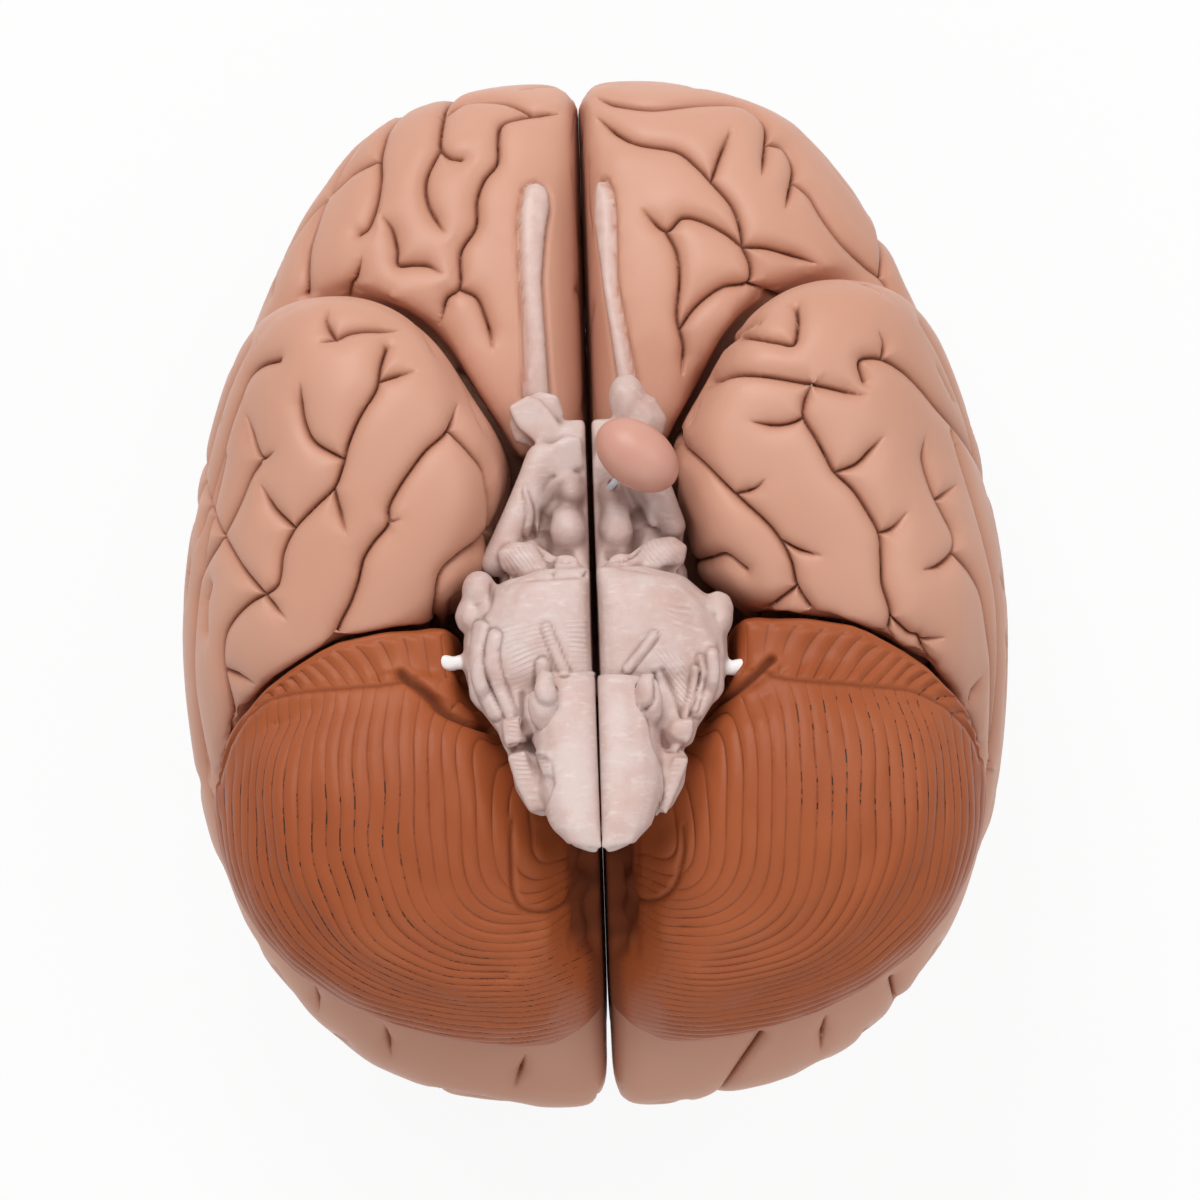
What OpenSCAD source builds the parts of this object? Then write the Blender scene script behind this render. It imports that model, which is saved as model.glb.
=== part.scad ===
// Life-size anatomy model of the human brain that comes apart along the midline and into
// lobes, brainstem and cerebellum. It lies on its crown, as it is shown from below:
// +Z is the underside, +Y the front, +X the model's left half. Z = 0 is the surface it lies on.

/* [Cerebrum] */
// Length from the frontal poles to the occipital poles
brain_length = 175; // [160:1:190]
// Breadth over both halves
brain_width = 140; // [128:1:152]
// Height from the crown to the underside of the temporal lobes
cerebrum_height = 104; // [98:1:110]
// Width of a sulcus at the surface
sulcus_width = 2.6; // [1.8:0.1:3.2]
// Depth of a sulcus
sulcus_depth = 3; // [1.5:0.1:4]

/* [Cerebellum] */
// Height of the cerebellum above the face it lies on
cerebellum_height = 40; // [36:1:44]
// Width of the cuts between the folia
folium_cut = 1.5; // [1:0.1:2]
// Depth of the cuts between the folia
folium_depth = 1.5; // [1:0.1:2.5]

/* [Brainstem] */
// Half breadth of the pons
pons_reach = 21; // [18:0.5:21.5]
// Half breadth of the medulla below the pons
medulla_reach = 10; // [8:0.5:12]

/* [Pituitary] */
// Length of the pituitary gland
gland_length = 15.5; // [13:0.5:17]
// Thickness of the pituitary gland
gland_width = 10.8; // [9:0.2:12]
// Diameter of the pin that carries the gland
gland_pin_d = 1.6; // [1.2:0.1:2.2]

/* [Joining] */
// Gap between the two halves
midline_gap = 1; // [0.6:0.1:1.6]
// Gap between castings that part
casting_gap = 0.4; // [0.3:0.05:0.6]
// Diameter of the dowel pins between the castings
dowel_d = 4; // [3:0.5:5]
// Length of the dowel pins
dowel_length = 20; // [16:1:24]
// Play around a pin, on the radius
pin_play = 0.05; // [0.03:0.01:0.1]

/* [Hidden] */

// Nominal places below are for a brain of 140 x 175 x 104 and follow these ratios
kx = brain_width / 140;
ky = brain_length / 175;
kz = cerebrum_height / 104;
medial = midline_gap / 2;

// Rows of the fronto-parietal casting from front to back: place along the brain, inner edge,
// outer edge, crown, height of the outer edge, underside
frontal_rows = [[87.5, 3, 14, 44, 50, 55], [86, 1, 22, 37, 50, 60], [83, 0, 31.5, 29, 50, 65],
    [79, 0, 38, 22, 50, 69], [74, 0, 42.3, 16.5, 51, 71.5], [66, 0, 48, 10, 52, 75],
    [57, 0, 52.8, 5, 53, 77.5], [47, 0, 57, 2, 54, 79.5], [36, 0, 61.3, 0.6, 56, 80],
    [20, 0, 66.7, 0, 58, 80], [0, 0, 70, 0, 58, 80], [-20, 0, 70, 0, 58, 80],
    [-40, 0, 67, 5, 58, 80], [-53, 0, 62, 11.5, 59, 80], [-60, 0, 58.6, 16, 60, 80]];

// Rows of the temporo-occipital casting, the same way
temporal_rows = [[49.6, 38, 46, 66, 80, 88], [49, 35, 49, 62, 78, 92], [47, 30.5, 53.5, 58, 74, 96],
    [44, 26.5, 56.5, 50, 70, 99], [40, 23, 59.5, 40, 66, 101.5], [33, 19, 62.5, 20, 62, 103.5],
    [26, 14.5, 65, 5, 60, 104], [20, 12.6, 66.7, 0, 58, 104], [12, 14.5, 68.4, 0, 58, 104],
    [4, 17.6, 69.5, 0, 58, 103.5], [-3, 25, 70, 0, 58, 102.5], [-9, 26, 70, 0, 58, 101],
    [-15, 24, 70, 0.2, 58, 98], [-23, 14, 69.6, 0.8, 58, 94], [-31, 2, 68.7, 2.5, 58, 90],
    [-40, 0, 67, 5, 58, 87], [-53, 0, 62, 11.5, 59, 80], [-62, 0, 57.6, 17.5, 60, 77],
    [-70, 0, 51.6, 25, 60, 74], [-79, 0, 41, 37, 60, 70], [-84, 0, 30, 46, 60, 67],
    [-87.5, 2, 12, 56, 60, 63]];

// Where the lobe castings part, seen from the side: place along the brain and height
parting_line = [[51, 68], [30, 66], [10, 60], [-10, 52], [-28, 46], [-44, 40], [-55, -6]];
// The parting seen from below, round the front of the temporal lobe
pole_outline = [[140, 53], [44, 53], [38, 51.2], [34, 50], [29.6, 48.2], [25.4, 45], [22, 40.8],
    [18, 33.4], [13.6, 26.2], [11.8, 22]];
// Height of the face that the cerebellum lies on
tentorium_z = 74;

// Olfactory strips cast with the frontal lobes: distance from the midline, place along the brain
// and width
olfactory_right = [[7.2, 68, 1.6], [7.2, 65.6, 4.2], [7.9, 60, 4.4], [8.4, 50, 3.3], [8.1, 40, 3.4],
    [8.2, 34, 4.2]];
olfactory_left = [[3.7, 67.4, 0.8], [3.7, 60, 3.6], [4.3, 50, 2.4], [5.6, 40, 2.4], [6.4, 34, 2.8]];
olfactory_height = 1.2;

// Rows of one half of the cerebellum from the midline outwards: distance from the midline,
// front edge, back edge, and how far the highest place reaches up the whole height
cerebellum_rows = [[0, -19, -68, 0.46], [4, -19, -71.5, 0.6], [9, -18.5, -73.8, 0.8],
    [14, -15, -74, 0.9], [20, -9, -73.4, 0.95], [27, -7, -72, 0.99], [34, -8.7, -69.8, 1],
    [42, -11.6, -66, 0.98], [50, -15.3, -60.6, 0.9], [55.5, -19, -55, 0.78],
    [59.5, -22.8, -48.5, 0.6], [62, -27, -42, 0.42], [63.2, -31, -37, 0.26]];

// Rows of one half of the brainstem, the same way as those of the lobes
floor_rows = [[28, 0, 4, 81, 85, 88], [26.5, 0, 8, 81, 86, 90], [22, 0, 10, 81, 87, 92],
    [16, 0, 10.5, 81, 88, 92.5], [9, 0, 12.5, 81, 88, 93.5], [3, 0, 15.3, 81, 90, 98],
    [-2, 0, 15.3, 81, 90, 98]];
// The pons and the medulla are given as shares of their half breadths
pons_rows = [[3.8, 0, 8, 92, 100, 106], [2, 0, 14.5, 91, 100, 108.5], [-2, 0, 19, 90, 100, 110],
    [-7, 0, 21, 90, 101, 111], [-12, 0, 21, 93.2, 103, 111.5], [-14.6, 0, 20.3, 95, 104, 110.5],
    [-18, 0, 18.5, 97, 106, 112], [-21.5, 0, 16, 99.3, 108, 113]];
medulla_rows = [[-13.6, 0, 9, 95, 104, 111.5], [-16, 0, 10, 96, 105, 114], [-25, 0, 10, 101.6, 110, 118.5],
    [-31, 0, 9.4, 105.4, 114, 121.5], [-36, 0, 7.6, 108.6, 117, 124], [-39, 0, 4.6, 111, 119, 125],
    [-40, 0, 2, 114, 120, 124]];
// Outline of the block between the halves of the cerebrum that carries the brainstem
block_outline = [[0, 21.5], [9, 21.5], [10.5, 16], [12, 9], [14, 3], [15, -4], [14, -12], [10, -17],
    [0, -17]];
// The room that the brainstem takes, seen from below and from the side
stem_outline = [[-5, 6], [12, 6], [23, 0], [23, -12], [20.5, -18], [17, -23], [13.8, -29], [12, -36],
    [7, -42], [-5, -42]];
stem_back = [[0, 89.2], [-7, 89.2], [-44, 112.9]];

// The way the cerebellum slides off, and the places of the pins
slide_angle = 30;
midline_front = [45, 42];
midline_rear = [-24, 22];
lobe_place = [42, 10];
stem_place = [6, 6];
cerebellum_place = [8, -17.8, 84];
gland_place = [7.6, 21.3, 103.5];
gland_pin_foot = [2.2, 15.4, 89];
gland_turn = -38;

// Sulci of the underside as distance from the midline and place along the brain
frontal_sulci_right = [[[3, 78.4], [10, 78.4], [13.4, 71], [17, 65], [17.6, 60], [20.2, 54], [20.6, 50],
        [24, 44.5]],
    [[22.4, 79], [22.8, 74], [25.3, 67], [22.5, 59.7]],
    [[32.2, 75.5], [33.2, 68], [36.7, 60]],
    [[33.2, 72], [40, 68]],
    [[32.6, 62.4], [30, 55.5], [23.3, 53]],
    [[36.3, 55.8], [38.3, 48.3]],
    [[19.8, 50.3], [16.4, 46], [15.3, 40]],
    [[44, 61.5], [45.6, 50]],
    [[8, 80.2], [15, 81.6], [22, 80.2]],
    [[4.6, 76], [4, 64], [5, 49], [4.8, 37]]];
frontal_sulci_left = [[[3, 80.9], [12.3, 79.4], [25.3, 79.5], [31, 75.5], [29.9, 67.3]],
    [[3, 77.3], [9.7, 73.5], [16, 72], [21.5, 67], [26, 60], [26.6, 54], [27.4, 49.6], [20, 47.8],
        [15.6, 42.6]],
    [[25, 75], [21.8, 66.6]],
    [[31, 72.8], [35.2, 70], [33.6, 61.8]],
    [[35.2, 66.4], [40, 60.2], [49, 50.2], [51, 46]],
    [[37, 74.3], [45, 64], [49.3, 52]],
    [[10, 62.2], [13.8, 59.4], [19, 60.8], [26.2, 57]],
    [[14, 58.6], [15.6, 50.5], [16, 35]],
    [[27, 55.6], [38, 52.4]],
    [[28, 49.2], [34, 46]],
    [[6.8, 68], [7, 60], [7, 50], [8.8, 38]]];
temporal_sulci_right = [[[31.6, 40.7], [33.7, 33.7], [39.8, 21.3], [49, 11], [51.4, 2.8], [58.4, -2.4],
        [60, -10], [58, -20]],
    [[27.3, 36.3], [33, 34.8]],
    [[46, 34.6], [45.8, 28.4], [40.4, 22.8]],
    [[54.7, 29.8], [53, 23.6], [59.5, 11.2], [64.2, 1], [64.6, -6]],
    [[52.7, 18.5], [48.6, 12.4]],
    [[41, 17.6], [39.4, 10.8]],
    [[20.5, 30.5], [25, 24], [31.6, 15.8], [32.8, 11], [37.4, 4], [41.5, -7]],
    [[22, 26.4], [16.2, 20]],
    [[18.4, 8], [23.8, 3.4], [25.6, -4]],
    [[42.4, 41.4], [37, 43.4], [29.5, 43]],
    [[49.5, 39], [56, 34]]];
temporal_sulci_left = [[[21.6, 40], [33.3, 39], [33.8, 45]],
    [[44.7, 32.4], [45, 36], [51.3, 33.8], [58.3, 25.6]],
    [[26, 26.3], [34.6, 26.6]],
    [[36.3, 32.5], [35, 27], [39.5, 17.8], [46.2, 8.4], [46.6, 0], [47.6, -6], [45, -11.4]],
    [[40, 18], [47.2, 23]],
    [[46.8, 8], [50.5, 10.7]],
    [[47.8, -6.4], [52.2, -10], [52.2, -17]],
    [[15, 22.2], [21, 16.4], [29.8, 7.4], [32.4, 0], [37.2, -9.2]],
    [[23.4, 14.6], [27.8, 16.8]],
    [[30.4, 6.6], [36.5, 4.4]],
    [[18.4, 4.4], [24, 3]],
    [[32, -0.9], [26.6, -6]],
    [[54, 22.7], [54.4, 17], [58.4, 7.4], [53, 1.7]],
    [[58.6, 5], [62.7, -3], [63.5, -10]]];

// Sulci of the dome and the sides as place along the brain and turn round the casting:
// 90 degrees is the outer edge, 180 the crown, 270 the middle of the inner face
dome_sulci = [[[-14, 193], [-8, 171], [-3, 151], [1, 135], [6, 117], [15, 98]],
    [[8, 167], [13, 149], [17, 128], [26, 101]],
    [[-31, 175], [-24, 157], [-18, 135], [-9, 107]],
    [[76, 151], [64, 161], [52, 164], [37, 165], [21, 161]],
    [[74, 113], [62, 121], [50, 123], [37, 119], [24, 113]],
    [[66, 137], [52, 143], [38, 141], [29, 137]],
    [[57, 125], [55, 109], [53, 93]],
    [[40, 122], [38, 105], [36, 88]],
    [[64, 163], [62, 178], [60, 193]],
    [[42, 168], [40, 182], [38, 197]],
    [[14, 170], [12, 184], [11, 197]],
    [[-27, 163], [-36, 157], [-45, 155]],
    [[-32, 142], [-28, 124], [-20, 107]],
    [[-45, 141], [-42, 128], [-34, 116]],
    [[-38, 180], [-36, 196]]];
temporal_side_sulci = [[[42, 62], [30, 69], [16, 73], [2, 76], [-12, 81], [-34, 98]],
    [[24, 55], [7, 59], [-10, 63], [-27, 69], [-45, 75]],
    [[16, 76], [14, 86]],
    [[-8, 82], [-12, 93]],
    [[-59, 167], [-63, 149], [-65, 131], [-68, 113]],
    [[-60, 106], [-54, 96], [-46, 88]],
    [[-76, 157], [-75, 135], [-76, 113]],
    [[-60, 184], [-66, 178], [-72, 170]],
    [[-78, 104], [-72, 92], [-63, 82]]];
inner_frontal_sulci = [[[61, 233], [21, 223], [-29, 221]],
    [[68, 262], [42, 254], [8, 249], [-26, 246]],
    [[44, 229], [46, 212]],
    [[2, 222], [0, 207]],
    [[-24, 224], [-27, 209]],
    [[26, 252], [27, 238]],
    [[70, 250], [78, 240]]];
inner_occipital_sulci = [[[-59, 209], [-66, 247], [-81, 245]],
    [[-57, 236], [-58, 262]],
    [[-70, 212], [-76, 226]],
    [[-68, 252], [-76, 268]]];

function rows_here(rows, y) = [for (i = [0 : len(rows) - 2]) if (rows[i + 1][0] * ky <= y) i];
function blend(a, b, c, d, t) = 0.5 * (2 * b + (c - a) * t + (2 * a - 5 * b + 4 * c - d) * t * t
    + (3 * b - a - 3 * c + d) * t * t * t);
function row_at(rows, y) = let(
    found = rows_here(rows, y),
    i = len(found) > 0 ? found[0] : len(rows) - 2,
    t = (rows[i][0] * ky - y) / (rows[i][0] - rows[i + 1][0]) / ky)
    blend(rows[max(i - 1, 0)], rows[i], rows[i + 1], rows[min(i + 2, len(rows) - 1)], t);

// A point of a lobe's skin: four quarters of a superellipse, boxier on the inner side
inner_power = 5;
outer_power = 2.3;
crest_share = 0.36;
function power_at(t) = sin(t) < 0 ? inner_power : outer_power;
function skin(rows, y, t) = let(
    r = row_at(rows, y),
    inner = max(r[1] * kx, medial),
    outer = max(r[2] * kx, inner + 1),
    crest = inner + (outer - inner) * crest_share,
    n = power_at(t),
    across = pow(abs(sin(t)), 2 / n),
    up = pow(abs(cos(t)), 2 / n))
    [sin(t) >= 0 ? crest + (outer - crest) * across : crest - (crest - inner) * across, y,
        kz * (cos(t) >= 0 ? r[4] + (r[5] - r[4]) * up : r[4] - (r[4] - r[3]) * up)];
// The turn round the casting at which its underside lies at a distance x from the midline
function turn_at(rows, x, y) = let(
    r = row_at(rows, y),
    inner = max(r[1] * kx, medial),
    outer = max(r[2] * kx, inner + 1),
    crest = inner + (outer - inner) * crest_share)
    x >= crest ? asin(pow(min((x - crest) / (outer - crest), 0.999), outer_power / 2))
        : -asin(pow(min((crest - x) / (crest - inner), 0.999), inner_power / 2));

function unit(v) = v / max(norm(v), 0.001);
step = 0.5;
function skin_normal(rows, y, t) = unit(cross(
    skin(rows, y, t + step) - skin(rows, y, t - step),
    skin(rows, y + step, t) - skin(rows, y - step, t)));

// A closed solid through rings of points, each ring turning the same way
module loft(rings) {
    n = len(rings[0]);
    last = (len(rings) - 1) * n;
    polyhedron(points = [for (ring = rings) each ring], faces = concat(
        [[for (i = [n - 1 : -1 : 0]) i]],
        [for (j = [0 : len(rings) - 2], i = [0 : n - 1])
            [j * n + i, j * n + (i + 1) % n, (j + 1) * n + (i + 1) % n, (j + 1) * n + i]],
        [[for (i = [0 : n - 1]) last + i]]), convexity = 6);
}

// A V-shaped cut along points on a surface, with the surface's normals
rise = 2.5;
module cut(points, normals, width, depth) {
    last = len(points) - 1;
    loft([for (i = [0 : last]) let(
        along = unit(unit(points[min(i + 1, last)] - points[i]) + unit(points[i] - points[max(i - 1, 0)])),
        side = unit(cross(along, normals[i])),
        share = i == 0 || i == last ? 0.4 : 1,
        half = width / 2 * (1 + rise / depth) * share)
        [points[i] + normals[i] * rise - side * half, points[i] - normals[i] * depth * share,
            points[i] + normals[i] * rise + side * half]]);
}

// Sulci given by place and turn
module side_sulci(rows, lines, depth = sulcus_depth)
    for (line = lines)
        cut([for (p = line) skin(rows, p[0] * ky, p[1])],
            [for (p = line) skin_normal(rows, p[0] * ky, p[1])], sulcus_width, depth);

// Sulci given by their place on the underside
module base_sulci(rows, lines)
    side_sulci(rows, [for (line = lines) [for (p = line) [p[1], turn_at(rows, p[0] * kx, p[1] * ky)]]]);

turn_step = 18;
module lobe_body(rows, each_turn = turn_step)
    loft([for (r = rows) [for (t = [0 : each_turn : 359]) skin(rows, r[0] * ky, t)]]);

// A flat strip raised from the underside of a lobe
root = 1.5;
module strip(rows, places) {
    spots = [for (p = places) [p[1] * ky, turn_at(rows, p[0] * kx, p[1] * ky), p[2]]];
    loft([for (p = spots) let(
        foot = skin(rows, p[0], p[1]),
        up = skin_normal(rows, p[0], p[1]),
        side = unit(cross([0, 1, 0], up)) * p[2] / 2)
        [foot - side - up * root, foot - side + up * olfactory_height * 0.4,
            foot - side * 0.5 + up * olfactory_height, foot + side * 0.5 + up * olfactory_height,
            foot + side + up * olfactory_height * 0.4, foot + side - up * root]]);
}

// Keeps a casting and its relief as one mesh, at the sizes that it has
module one_mesh() resize([0, 0, 0]) children();

// How far a cutting shape starts over the midline
inward = 5;

// Everything that belongs to the temporo-occipital casting, set back by a gap
module parting(gap) {
    top = 2 * cerebrum_height;
    back = -brain_length;
    front = parting_line[0][0] * ky - gap;
    intersection() {
        translate([-inward, 0, 0]) rotate([90, 0, 90]) linear_extrude(brain_width)
            polygon(concat([for (p = parting_line) [p[0] * ky - gap, p[1] * kz + gap]],
                [[back, -inward], [back, top], [front, top]]));
        translate([0, 0, -inward]) linear_extrude(top) offset(delta = -gap)
            polygon(concat([for (p = pole_outline) [p[0] * kx, p[1] * ky]],
                [[-inward - gap, 22 * ky], [-inward - gap, back - gap],
                [brain_width, back - gap]]));
    }
}

module half(side) mirror([side < 0 ? 1 : 0, 0, 0]) children();

// Pins and their bores: given a width to add, the same shape is the bore
module dowel(play) cylinder(h = dowel_length + 2 * play, d = dowel_d + 2 * play, center = true, $fn = 32);
module midline_pin(place, play = 0)
    translate([0, place[0] * ky, place[1] * kz]) rotate([0, 90, 0]) dowel(play);
module lobe_pin(play = 0)
    translate([lobe_place[0] * kx, lobe_place[1] * ky, lookup(lobe_place[1], parting_line) * kz])
        dowel(play);
module stem_pin(play = 0)
    translate([stem_place[0] * kx, stem_place[1] * ky, lookup(stem_place[1], parting_line) * kz])
        dowel(play);
module cerebellum_pin(play = 0)
    translate([cerebellum_place[0] * kx, cerebellum_place[1] * ky, cerebellum_place[2] * kz])
        rotate([90 - slide_angle, 0, 0]) dowel(play);

module fronto_parietal(sulci, olfactory) {
    difference() {
        one_mesh() difference() {
            union() {
                lobe_body(frontal_rows);
                strip(frontal_rows, olfactory);
            }
            parting(0);
            base_sulci(frontal_rows, sulci);
            side_sulci(frontal_rows, dome_sulci);
            side_sulci(frontal_rows, inner_frontal_sulci);
        }
        midline_pin(midline_front, pin_play);
        midline_pin(midline_rear, pin_play);
        lobe_pin(pin_play);
        stem_pin(pin_play);
    }
}

module temporo_occipital(sulci) {
    difference() {
        one_mesh() intersection() {
            difference() {
                lobe_body(temporal_rows);
                base_sulci(temporal_rows, sulci);
                side_sulci(temporal_rows, temporal_side_sulci);
                side_sulci(temporal_rows, inner_occipital_sulci);
                cerebellum_room();
            }
            parting(casting_gap);
        }
        lobe_pin(pin_play);
    }
}

// Everything behind the front edge of the cerebellum and above the face it lies on
module cerebellum_room() {
    edge = [for (r = cerebellum_rows) [r[0] * kx, r[1] * ky + casting_gap]];
    translate([0, 0, tentorium_z * kz]) linear_extrude(cerebrum_height)
        polygon(concat([[-inward, edge[0][1]]], edge, [[brain_width, edge[len(edge) - 1][1]],
            [brain_width, -brain_length], [-inward, -brain_length]]));
}

// A point of the cerebellum's skin, turning about its own long axis
function cerebellum_skin(x, t) = let(
    found = [for (i = [0 : len(cerebellum_rows) - 2]) if (cerebellum_rows[i + 1][0] * kx >= x) i],
    i = len(found) > 0 ? found[0] : len(cerebellum_rows) - 2,
    a = cerebellum_rows[i],
    b = cerebellum_rows[i + 1],
    s = (x / kx - a[0]) / (b[0] - a[0]),
    r = blend(cerebellum_rows[max(i - 1, 0)], a, b,
        cerebellum_rows[min(i + 2, len(cerebellum_rows) - 1)], s),
    low = tentorium_z * kz + casting_gap,
    top = low + cerebellum_height * r[3],
    middle = low + (top - low) * 0.3,
    n = cos(t) >= 0 ? 2.3 : 7,
    across = pow(abs(sin(t)), 2 / n) * sign(sin(t)),
    up = pow(abs(cos(t)), 2 / n))
    [max(x, medial), ky * ((r[1] + r[2]) / 2 + (r[1] - r[2]) / 2 * across),
        cos(t) >= 0 ? middle + (top - middle) * up : middle - (middle - low) * up];
function cerebellum_normal(x, t) = unit(cross(
    cerebellum_skin(x, t + step) - cerebellum_skin(x, t - step),
    cerebellum_skin(x + step, t) - cerebellum_skin(x - step, t)));
// The turn at which the upper skin of the cerebellum lies at a place along the brain
function cerebellum_turn(x, y) = let(
    front = cerebellum_skin(x, 90)[1],
    back = cerebellum_skin(x, -90)[1],
    share = (y - (front + back) / 2) / ((front - back) / 2))
    asin(sign(share) * pow(min(abs(share), 0.998), 2.3 / 2));

module skin_cut(places) {
    turns = [for (p = places) [p[0] * kx, cerebellum_turn(p[0] * kx, p[1] * ky)]];
    cut([for (p = turns) cerebellum_skin(p[0], p[1])], [for (p = turns) cerebellum_normal(p[0], p[1])],
        folium_cut, folium_depth);
}

folia = 5;
swing_step = 18;
cerebellum_step = 18;
module folia_cuts() {
    // Below the ridge the cuts run back and swing round towards the midline
    for (i = [0 : folia - 1]) let(out = 13 + i * 10, back = 10 + i * 7.7)
        skin_cut(concat([[3 + out * 0.97, -20 - i]],
            [for (a = [0 : swing_step : 90]) [3 + out * cos(a), -29 - back * sin(a)]]));
    // The ridge, and the short cuts that fan out in front of it
    skin_cut([[17, -20], [24, -17], [38, -17], [50, -19.8], [60, -27.5]]);
    for (i = [0 : 4]) let(x = 24 + i * 6)
        skin_cut([[x, -15.6 - i * i * 0.14], [x + 1 + i * 0.2, -10 - i * i * 0.24]]);
}

module cerebellum() {
    places = [for (i = [0 : len(cerebellum_rows) - 1]) cerebellum_rows[i][0] * kx];
    difference() {
        one_mesh() difference() {
            loft([for (x = places) [for (t = [0 : cerebellum_step : 359]) cerebellum_skin(x, t)]]);
            folia_cuts();
            intersection() {
                linear_extrude(2 * cerebrum_height) offset(casting_gap)
                    polygon([for (p = stem_outline) [p[0] * kx, p[1] * ky]]);
                translate([-inward, 0, 0]) rotate([90, 0, 90]) linear_extrude(brain_width)
                    polygon(concat([for (p = stem_back) [p[0] * ky, p[1] * kz - casting_gap]],
                        [[stem_back[2][0] * ky, 2 * cerebrum_height], [0, 2 * cerebrum_height]]));
            }
        }
        cerebellum_pin(pin_play);
    }
}

// A rounded lump of the brainstem: place, half sizes and turn seen from below
module lump(place, sizes, turn = 0)
    translate([place[0] * kx, place[1] * ky, place[2] * kz]) rotate(turn) scale(sizes) sphere(1, $fn = 8);

function stem_row(r, reach) = [r[0], r[1], r[2] * reach, r[3], r[4], r[5]];
stem_step = 22.5;
module brainstem() {
    difference() {
        one_mesh() difference() {
            union() {
                intersection() {
                    linear_extrude(92 * kz) polygon([for (p = block_outline)
                        [max(p[0] * kx, medial), p[1] * ky]]);
                    parting(casting_gap);
                }
                lobe_body(floor_rows, stem_step);
                lobe_body([for (r = pons_rows) stem_row(r, pons_reach / 21)], stem_step);
                lobe_body([for (r = medulla_rows) stem_row(r, medulla_reach / 10)], stem_step);
                lump([8.4, 28.4, 85.6], [5.6, 4.2, 4.2], -45);
                lump([4.4, 10, 92.5], [3.6, 4.6, 4.2]);
                lump([3.2, 15.8, 92.4], [2.3, 2.6, 2.2]);
                lump([10.5, 5, 97], [5.5, 3.6, 4], 20);
                lump([4.6, 4, 98], [2.6, 2.2, 4]);
                lump([19.6, -3.4, 101], [2.9, 3.2, 4]);
                lump([18, -12.5, 106], [2.4, 6, 4.6], 8);
                lump([8.4, -17, 114], [2, 4.2, 2.4], 6);
                lump([12.6, -22, 108], [3.2, 3.6, 7]);
                lump([10.6, -29.6, 111], [3, 6.2, 5.5], -19);
                lump([10.6, 13.4, 91], [2.4, 8.2, 3.4], 33);
            }
            translate([medial - inward, -brain_length, 0])
                cube([inward, 2 * brain_length, 2 * cerebrum_height]);
        }
        stem_pin(pin_play);
        cerebellum_pin(pin_play);
    }
}

gland_centre = [gland_place[0] * kx, gland_place[1] * ky, gland_place[2] * kz];
gland_foot = [gland_pin_foot[0] * kx, gland_pin_foot[1] * ky, gland_pin_foot[2] * kz];
module gland_pin(play = 0) {
    way = gland_centre - gland_foot;
    translate(gland_foot)
        rotate([0, acos(way[2] / norm(way)), atan2(way[1], way[0])])
            translate([0, 0, -play]) cylinder(h = norm(way) + 2 * play, d = gland_pin_d + 2 * play, $fn = 24);
}

module gland() {
    difference() {
        translate(gland_centre) rotate(gland_turn) rotate([0, 90, 0])
            rotate_extrude($fn = 48) polygon([for (a = [-90 : 10 : 90])
                [gland_width / 2 * cos(a), gland_length / 2 * sin(a)]]);
        gland_pin(pin_play);
    }
}

module brainstem_with_gland() {
    difference() {
        brainstem();
        gland_pin(pin_play);
    }
}

vinyl = "#d4a38a";
ochre = "#b0633e";
pale = "#dec8c0";
steel = "#b9bcc0";
color(vinyl) half(1)  // fronto_parietal_left
    fronto_parietal(frontal_sulci_left, olfactory_left);
color(vinyl) half(-1)  // fronto_parietal_right
    fronto_parietal(frontal_sulci_right, olfactory_right);
color(vinyl) half(1)  // temporo_occipital_left
    temporo_occipital(temporal_sulci_left);
color(vinyl) half(-1)  // temporo_occipital_right
    temporo_occipital(temporal_sulci_right);
color(pale) half(1) brainstem_with_gland();  // brainstem_left
color(pale) half(-1) brainstem();  // brainstem_right
color(ochre) half(1) cerebellum();  // cerebellum_left
color(ochre) half(-1) cerebellum();  // cerebellum_right
color("#e4a492") gland();  // pituitary_gland
color("#c8ccd2") gland_pin();  // pituitary_pin
color(steel) midline_pin(midline_front);  // midline_pin_front
color(steel) midline_pin(midline_rear);  // midline_pin_rear
color(steel) half(1) lobe_pin();  // lobe_pin_left
color(steel) half(-1) lobe_pin();  // lobe_pin_right
color(steel) half(1) stem_pin();  // brainstem_pin_left
color(steel) half(-1) stem_pin();  // brainstem_pin_right
color(steel) half(1) cerebellum_pin();  // cerebellum_pin_left
color(steel) half(-1) cerebellum_pin();  // cerebellum_pin_right
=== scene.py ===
import math

import bmesh
import bpy
import numpy as np
from mathutils import Matrix, Vector
from mathutils.bvhtree import BVHTree
from mathutils.kdtree import KDTree


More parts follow.
